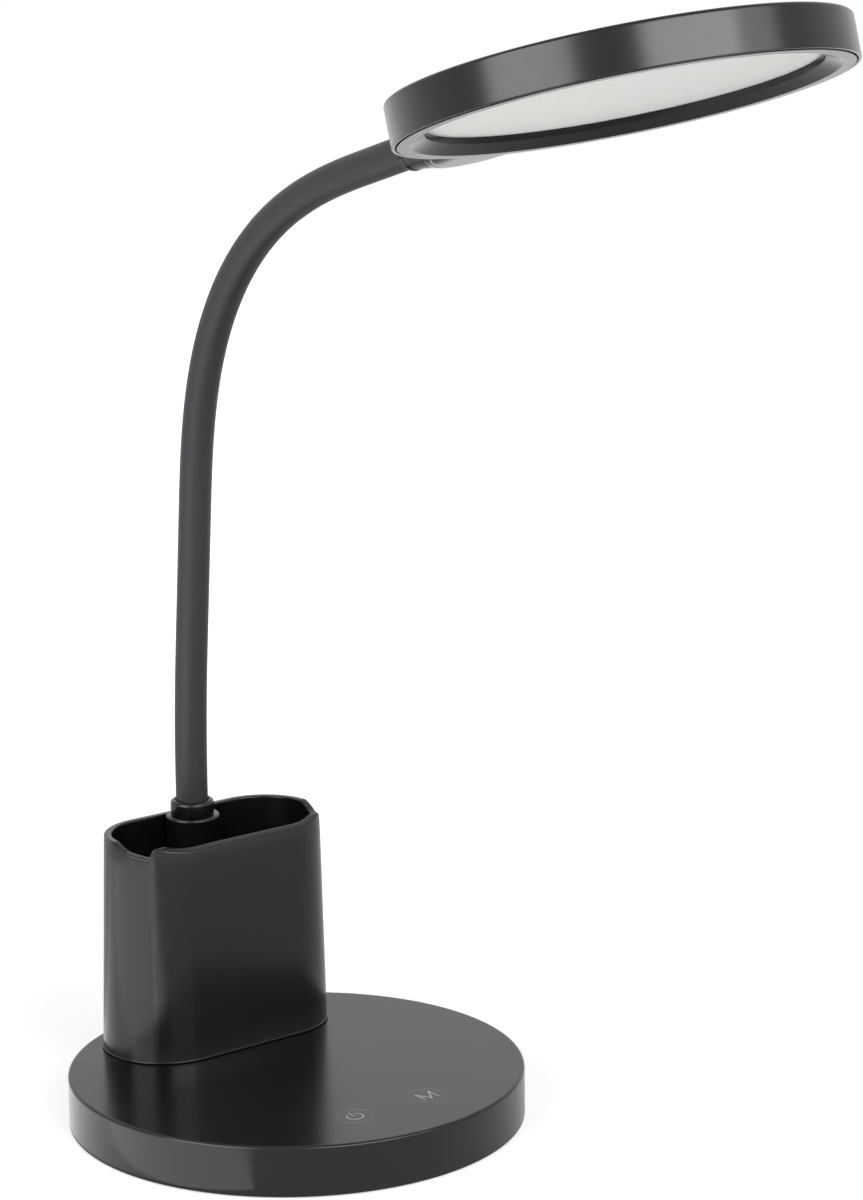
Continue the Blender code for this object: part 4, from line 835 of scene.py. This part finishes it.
def makeColumn():
    low, top = column["low"], column["top"]
    bm = bmesh.new()
    bridgeRings(bm, [columnRing(bm, z, offset) for z, offset in columnLayers()])
    for y, _ in rimPath[1:-1]:
        whole = bm.verts[:] + bm.edges[:] + bm.faces[:]
        bmesh.ops.bisect_plane(bm, geom=whole, dist=mergeDistance, plane_co=(0, y, 0), plane_no=(0, 1, 0))
    for v in bm.verts:
        if v.co.z > top - column["rimRound"] - 1e-6:
            v.co.z += rimHeight(v.co.y) - top
    cup = meshPiece("lampColumnCup", bm, satinBlack)
    carve(cup, makePillar(), "UNION")
    below, pocketTop, neckY = low - toolReach, column["pocketTop"], column["neckY"]
    carveRound(cup, column["boreRadius"], 48, 0, neckY, pocketTop - column["overlap"], top + toolReach)
    carveRound(cup, column["pocketRadius"], 48, 0, neckY, below, pocketTop)
    for side in (-1, 1):
        carveRound(cup, screwHole, holeSteps, side * base["columnScrewX"], column["y"], below, column["pilotTop"])
    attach(cup, "stand")
    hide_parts("column_cup")


makeColumn()
print("column ready")


# neck

neck = {
    "rootY": 0.0523, "rootZ": 0.08505, "length": 0.2698, "radius": 0.0050, "wall": 0.0009, "joints": 12,
    "leanDeg": 4.8, "leanShare": 0.2222, "bendStart": 0.3613, "bendEnd": 0.9514, "endTiltDeg": 73.2,
    "sides": 64, "rings": 14, "walkSteps": 48, "tail": 0.0045,
}


def neckAngle(run):
    lean = neck["leanDeg"] * smoothShare(run / (neck["leanShare"] * neck["length"]))
    share = smoothShare((run / neck["length"] - neck["bendStart"]) / (neck["bendEnd"] - neck["bendStart"]))
    return math.radians(lean + (neck["endTiltDeg"] - neck["leanDeg"]) * share)


def neckPoint(run):
    point = Vector((0.0, neck["rootY"], neck["rootZ"]))
    step = run / neck["walkSteps"]
    for i in range(neck["walkSteps"]):
        angle = neckAngle(step * (i + 0.5))
        point += Vector((0.0, -math.sin(angle), math.cos(angle))) * step
    return point


def neckFrame(run):
    angle = neckAngle(run)
    return Matrix.Translation(neckPoint(run)) @ Matrix.Rotation(angle, 4, "X")


def makeSleeve(number):
    pitch = neck["length"] / neck["joints"]
    start, end = pitch * (number - 1), pitch * number
    last = end + (neck["tail"] if number == neck["joints"] else 0.0)  # the top length runs on to the short collar
    bm = bmesh.new()
    outer, inner = [], []
    for i in range(neck["rings"] + 1):
        place = neckFrame(start + (last - start) * i / neck["rings"])
        for rings, radius in ((outer, neck["radius"]), (inner, neck["radius"] - neck["wall"])):
            made = bmesh.ops.create_circle(bm, segments=neck["sides"], radius=radius, matrix=place)
            rings.append(made["verts"])
    bridgeRings(bm, outer + inner[::-1] + outer[:1], capped=False)
    piece = meshPiece(f"lampSleeve{number:02d}", bm, sleeveRubber)
    neckPoint(start)
    neckPoint(end)
    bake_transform(piece)
    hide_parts(f"neck_sleeve_{number:02d}")


for number in range(1, neck["joints"] + 1):
    makeSleeve(number)


lowerCollar = {"inner": 0.0053, "outer": 0.0068, "height": 0.0045, "edge": 0.0002, "topRound": 0.0011}


def makeLowerCollar():
    low, high = neck["rootZ"], neck["rootZ"] + lowerCollar["height"]
    inner, outer, edge = lowerCollar["inner"], lowerCollar["outer"], lowerCollar["edge"]
    bm = turnedBody([
        (inner, low, 0, 0), (outer, low, edge, 3), (outer, high, lowerCollar["topRound"], 8),
        (inner, high, edge, 3)], 96)
    place = Matrix.Translation((0, neck["rootY"], 0))
    meshPiece("lampLowerCollar", bm, satinBlack, "stand", ["lower_collar"], place=place)


makeLowerCollar()
print("neck ready")


# head

head = {
    "tiltDeg": 16.8, "twistDeg": 0.48, "radius": 0.06175, "height": 0.0121, "wall": 0.0018, "steps": 240,
    "rimWall": 0.00085, "rimLow": 0.00022, "rimRound": 0.0002, "lipRound": 0.00006, "edge": 0.0010,
    "axisHeight": 0.0085, "armEnd": 0.0890, "neckBack": 0.0965, "armHalfRoot": 0.0125, "noseShare": 0.5,
    "armSides": 64, "armSteps": 32, "armInset": 0.0001, "armSquare": 7.0, "armRounding": 5.0, "squareShare": 0.5,
    "boreRadius": 0.0041, "boreDepth": 0.010, "setScrewBack": 0.005,
    "bezelRadius": 0.0604, "bezelFlat": 0.0568, "bezelMouth": 0.0526, "bezelWindow": 0.0523,
    "bezelRise": 0.0023, "bezelHeight": 0.0039, "flange": 0.0012, "mouthRound": 0.0001, "flatRound": 0.0005,
    "diffuserRadius": 0.0529, "diffuserLow": 0.0040, "diffuserThick": 0.0016, "diffuserEdge": 0.0002,
    "boardTop": 0.0097, "collarRadius": 0.0060, "collarLength": 0.0026, "collarEdge": 0.0002, "collarRound": 0.0011,
}
turn = Matrix.Rotation(math.radians(-head["tiltDeg"]), 4, "X") @ Matrix.Rotation(math.radians(head["twistDeg"]), 4, "Y")
neckEnd = neckPoint(neck["length"]) - turn @ Vector((0, head["neckBack"], head["axisHeight"]))
headPlace = Matrix.Translation(neckEnd) @ turn
alongNeck = Matrix.Translation((0, 0, head["axisHeight"])) @ Matrix.Rotation(math.radians(-90), 4, "X")


def armLoop(bm, share):
    root = head["radius"] - head["wall"] / 2
    y = root + (head["armEnd"] - root) * share
    nose = min(share / head["noseShare"], 1.0)  # the flat tongue narrows in a round nose
    halfWidth = head["collarRadius"] + (head["armHalfRoot"] - head["collarRadius"]) * math.sqrt(1.0 - nose ** 2)
    drop = smoothShare((share - head["noseShare"]) / (1.0 - head["noseShare"]))
    flat, roof = head["rimLow"] + head["armInset"], head["height"] - head["armInset"]
    low = flat + (head["axisHeight"] - head["collarRadius"] - flat) * drop
    high = roof + (head["axisHeight"] + head["collarRadius"] - roof) * smoothShare(share)
    rounder = smoothShare(share / head["noseShare"] - head["squareShare"])
    power = 2.0 / (head["armSquare"] - head["armRounding"] * rounder)
    made = bmesh.ops.create_circle(bm, segments=head["armSides"], radius=1.0)["verts"]
    for v in made:
        across = math.copysign(abs(v.co.x) ** power, v.co.x) * halfWidth
        up = math.copysign(abs(v.co.y) ** power, v.co.y) * (high - low) / 2
        v.co = (across, y, (high + low) / 2 + up)
    return made


def makeHeadCover():
    lip, inside = head["radius"] - head["rimWall"], head["radius"] - head["wall"]
    seat, roof = head["flange"] + seatGap, head["boardTop"] + seatGap
    bm = turnedBody([
        (0.0, head["height"], 0, 0), (head["radius"], head["height"], head["edge"], 8),
        (head["radius"], head["rimLow"], head["rimRound"], 4), (lip, head["rimLow"], head["lipRound"], 3),
        (lip, seat, 0, 0), (inside, seat, 0, 0), (inside, roof, 0, 0), (0.0, roof, 0, 0)],
        head["steps"], closed=False)
    cover = meshPiece("lampHeadCover", bm, satinBlack)
    arm = bmesh.new()
    bridgeRings(arm, [armLoop(arm, i / head["armSteps"]) for i in range(head["armSteps"] + 1)])
    carve(cover, solidFrom("armTool", arm), "UNION")
    end = head["armEnd"]
    carveRound(cover, head["boreRadius"], 48, 0, 0, end - head["boreDepth"], end + toolReach, alongNeck)
    carveRound(cover, screwHole, holeSteps, 0, end - head["setScrewBack"], -toolReach, head["axisHeight"])
    cover.data.transform(headPlace)
    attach(cover, "head")
    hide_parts("head_cover")


makeHeadCover()


def makeBezel():
    inside = head["radius"] - head["wall"] - seatGap
    bm = turnedBody([
        (head["bezelRadius"], 0.0, head["lipRound"], 3), (head["bezelRadius"], head["flange"], 0, 0),
        (inside, head["flange"], 0, 0), (inside, head["bezelHeight"], 0, 0),
        (head["bezelWindow"], head["bezelHeight"], 0, 0),
        (head["bezelMouth"], head["bezelRise"], head["mouthRound"], 3),
        (head["bezelFlat"], 0.0, head["flatRound"], 6)], head["steps"])
    meshPiece("lampBezelRing", bm, shadedBezelBlack, "head", ["bezel_ring"], place=headPlace)


def makeDiffuser():
    low, high = head["diffuserLow"], head["diffuserLow"] + head["diffuserThick"]
    radius, edge = head["diffuserRadius"], head["diffuserEdge"]
    bm = turnedBody([
        (0.0, low, 0, 0), (radius, low, edge, 3), (radius, high, edge, 3), (0.0, high, 0, 0)], 160, closed=False)
    meshPiece("lampDiffuser", bm, opalSheet, "head", ["diffuser"], place=headPlace)


def makeUpperCollar():
    inner, outer, length = head["boreRadius"], head["collarRadius"], head["collarLength"]
    bm = turnedBody([
        (inner, 0.0, 0, 0), (outer, 0.0, head["collarEdge"], 3), (outer, length, head["collarRound"], 8),
        (inner, length, 0, 0)], 96)
    place = headPlace @ Matrix.Translation((0, head["armEnd"] + seatGap, 0)) @ alongNeck
    meshPiece("lampUpperCollar", bm, satinBlack, "head", ["upper_collar"], place=place)


makeBezel()
makeDiffuser()
makeUpperCollar()
print("head ready")


# finishes of the inner parts

innerFinishes = {
    "base_floor": satinBlack, "base_weight": castIron, "battery_cell": cellFoil, "control_board": greenBoard,
    "touch_board": greenBoard, "charge_light": opalSheet, "led_board": whiteBoard, "reflector_ring": whiteBoard,
    "neck_nut": zincSteel, "neck_washer": zincSteel, "arm_set_screw": zincSteel,
    "battery_lead": redJacket, "touch_lead": redJacket, "lamp_lead": redJacket, "head_lead": redJacket,
}
for name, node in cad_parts.items():
    finish = innerFinishes.get(name)
    if name.startswith("neck_core"):
        finish = drawnAluminium
    elif "screw" in name:
        finish = zincSteel
    if finish and not node.hide_render:
        node.data.materials.clear()
        node.data.materials.append(finish)
print("inner parts ready")


# studio

studio = {
    "floorRadius": 2.2, "floorDrop": 0.0001, "floorColour": 0.70, "floorRoughness": 0.7, "floorSpecular": 0.2,
    "worldPlain": 0.25, "worldSeen": 1.0, "boxAim": (0, -0.03, 0.2),
    "shownNear": 0.55, "shownFar": 1.0, "shownFrom": 0.14, "shownTo": 0.70,
    "glossBase": 0.36, "glossNear": 0.20, "baseFrom": 0.10, "baseTo": 0.15,
    "glossFar": 0.75, "farFrom": 0.45, "farTo": 0.70,
    "leftBox": {"azimuth": -82.5, "elevation": 18.0, "distance": 1.4, "width": 1.05, "height": 0.78, "power": 18.0},
    "rightBox": {"azimuth": -6.5, "elevation": 24.5, "distance": 1.4, "width": 1.03, "height": 0.47, "power": 14.2},
    "fillBox": {"azimuth": 25.5, "elevation": 24.5, "distance": 1.4, "width": 0.55, "height": 0.47, "power": 3.0},
    "tableBoard": {"place": (-0.3542, 0.0258, 0.0015), "turn": 25.0, "width": 0.48, "height": 0.39, "power": 1.0},
    "tableStrip": {"place": (-0.0955, 0.1570, 0.0015), "turn": 25.0, "width": 0.10, "height": 0.37, "power": 0.078},
}


def makeFloor():
    bm = bmesh.new()
    bmesh.ops.create_circle(bm, cap_ends=True, segments=128, radius=studio["floorRadius"])
    floor = objectFrom("studioFloor", bm)
    floor.location.z = -studio["floorDrop"]
    material = bpy.data.materials.new("paleFloor")
    material.use_nodes = True
    tree = material.node_tree
    shader = tree.nodes["Principled BSDF"]
    shader.inputs["Roughness"].default_value = studio["floorRoughness"]
    shader.inputs["Base Color"].default_value = (*[studio["floorColour"]] * 3, 1.0)
    shader.inputs["Specular IOR Level"].default_value = studio["floorSpecular"]
    white = addNode(tree, "ShaderNodeEmission")
    where = addNode(tree, "ShaderNodeTexCoord").outputs["Object"]
    length = addNode(tree, "ShaderNodeVectorMath", operation="LENGTH")
    tree.links.new(where, length.inputs[0])

    def ramp(start, end, near, far):
        return mapRange(tree, length.outputs["Value"], studio[start], studio[end], near, far)

    near = ramp("shownFrom", "shownTo", studio["shownNear"], studio["shownFar"])
    around = ramp("baseFrom", "baseTo", studio["glossBase"], studio["glossNear"])
    gloss = math2(tree, "ADD", around, ramp("farFrom", "farTo", 0.0, studio["glossFar"]))
    path = addNode(tree, "ShaderNodeLightPath")
    reflected = math2(tree, "MAXIMUM", path.outputs["Is Glossy Ray"], path.outputs["Is Transmission Ray"])
    direct = times(tree, path.outputs["Is Camera Ray"], near)
    shown = math2(tree, "ADD", direct, times(tree, reflected, gloss))
    tree.links.new(shown, white.inputs["Strength"])
    both = addNode(tree, "ShaderNodeAddShader")
    tree.links.new(shader.outputs[0], both.inputs[0])
    tree.links.new(white.outputs[0], both.inputs[1])
    tree.links.new(both.outputs[0], tree.nodes["Material Output"].inputs[0])
    floor.data.materials.append(material)


def makeWorld():
    world = bpy.data.worlds.new("studioWorld")
    bpy.context.scene.world = world
    world.use_nodes = True
    tree = world.node_tree
    plain, white = tree.nodes["Background"], addNode(tree, "ShaderNodeBackground")
    for node, strength in ((plain, studio["worldPlain"]), (white, studio["worldSeen"])):
        node.inputs[0].default_value = (1, 1, 1, 1)
        node.inputs[1].default_value = strength
    path = addNode(tree, "ShaderNodeLightPath")
    mirrored = math2(tree, "MAXIMUM", path.outputs["Is Camera Ray"], path.outputs["Is Glossy Ray"])
    seen = math2(tree, "MAXIMUM", mirrored, path.outputs["Is Transmission Ray"])
    mix = addNode(tree, "ShaderNodeMixShader")
    tree.links.new(seen, mix.inputs[0])
    tree.links.new(plain.outputs[0], mix.inputs[1])
    tree.links.new(white.outputs[0], mix.inputs[2])
    tree.links.new(mix.outputs[0], tree.nodes["World Output"].inputs[0])


def makeBox(name, look):
    if "place" in look:
        place, back = Vector(look["place"]), Vector((0, 0, -1))
    else:
        a, e = math.radians(look["azimuth"]), math.radians(look["elevation"])
        back = Vector((math.sin(a) * math.cos(e), -math.cos(a) * math.cos(e), math.sin(e)))
        place = Vector(studio["boxAim"]) + back * look["distance"]
    light = bpy.data.lights.new(name, "AREA")
    light.shape = "RECTANGLE"
    light.size, light.size_y = look["width"], look["height"]
    light.energy = look["power"]
    lamp = linkObject(name, light)
    lamp.location = place
    lamp.rotation_mode = "QUATERNION"
    lamp.rotation_quaternion = (-back).to_track_quat("-Z", "Y")
    if "turn" in look:
        lamp.rotation_quaternion = Quaternion((0, 0, 1), math.radians(look["turn"])) @ lamp.rotation_quaternion
    lamp.visible_camera = False


makeFloor()
makeWorld()
for name in ("leftBox", "rightBox", "fillBox", "tableBoard", "tableStrip"):
    makeBox(name, studio[name])


view = {
    "turn": (-38.545, 12.858, -0.691), "place": (-0.6580, -0.8950, 0.4150), "lens": 114.56,
    "sensor": 36.0, "clipNear": 0.05, "clipFar": 20.0,
}


def makeCamera():
    data = bpy.data.cameras.new("photoCamera")
    data.lens, data.sensor_width = view["lens"], view["sensor"]
    data.clip_start, data.clip_end = view["clipNear"], view["clipFar"]
    camera = linkObject("photoCamera", data)
    azimuth, pitch, roll = (math.radians(a) for a in view["turn"])
    back = Vector((math.sin(azimuth) * math.cos(pitch), -math.cos(azimuth) * math.cos(pitch), math.sin(pitch)))
    right = Vector((math.cos(azimuth), math.sin(azimuth), 0.0))
    up = back.cross(right)
    acrossRolled = right * math.cos(roll) + up * math.sin(roll)
    upRolled = up * math.cos(roll) - right * math.sin(roll)
    turned = Matrix((acrossRolled, upRolled, back)).transposed()
    camera.matrix_world = Matrix.Translation(view["place"]) @ turned.to_4x4()
    bpy.context.scene.camera = camera


makeCamera()
bpy.context.scene.view_settings.view_transform = "Standard"
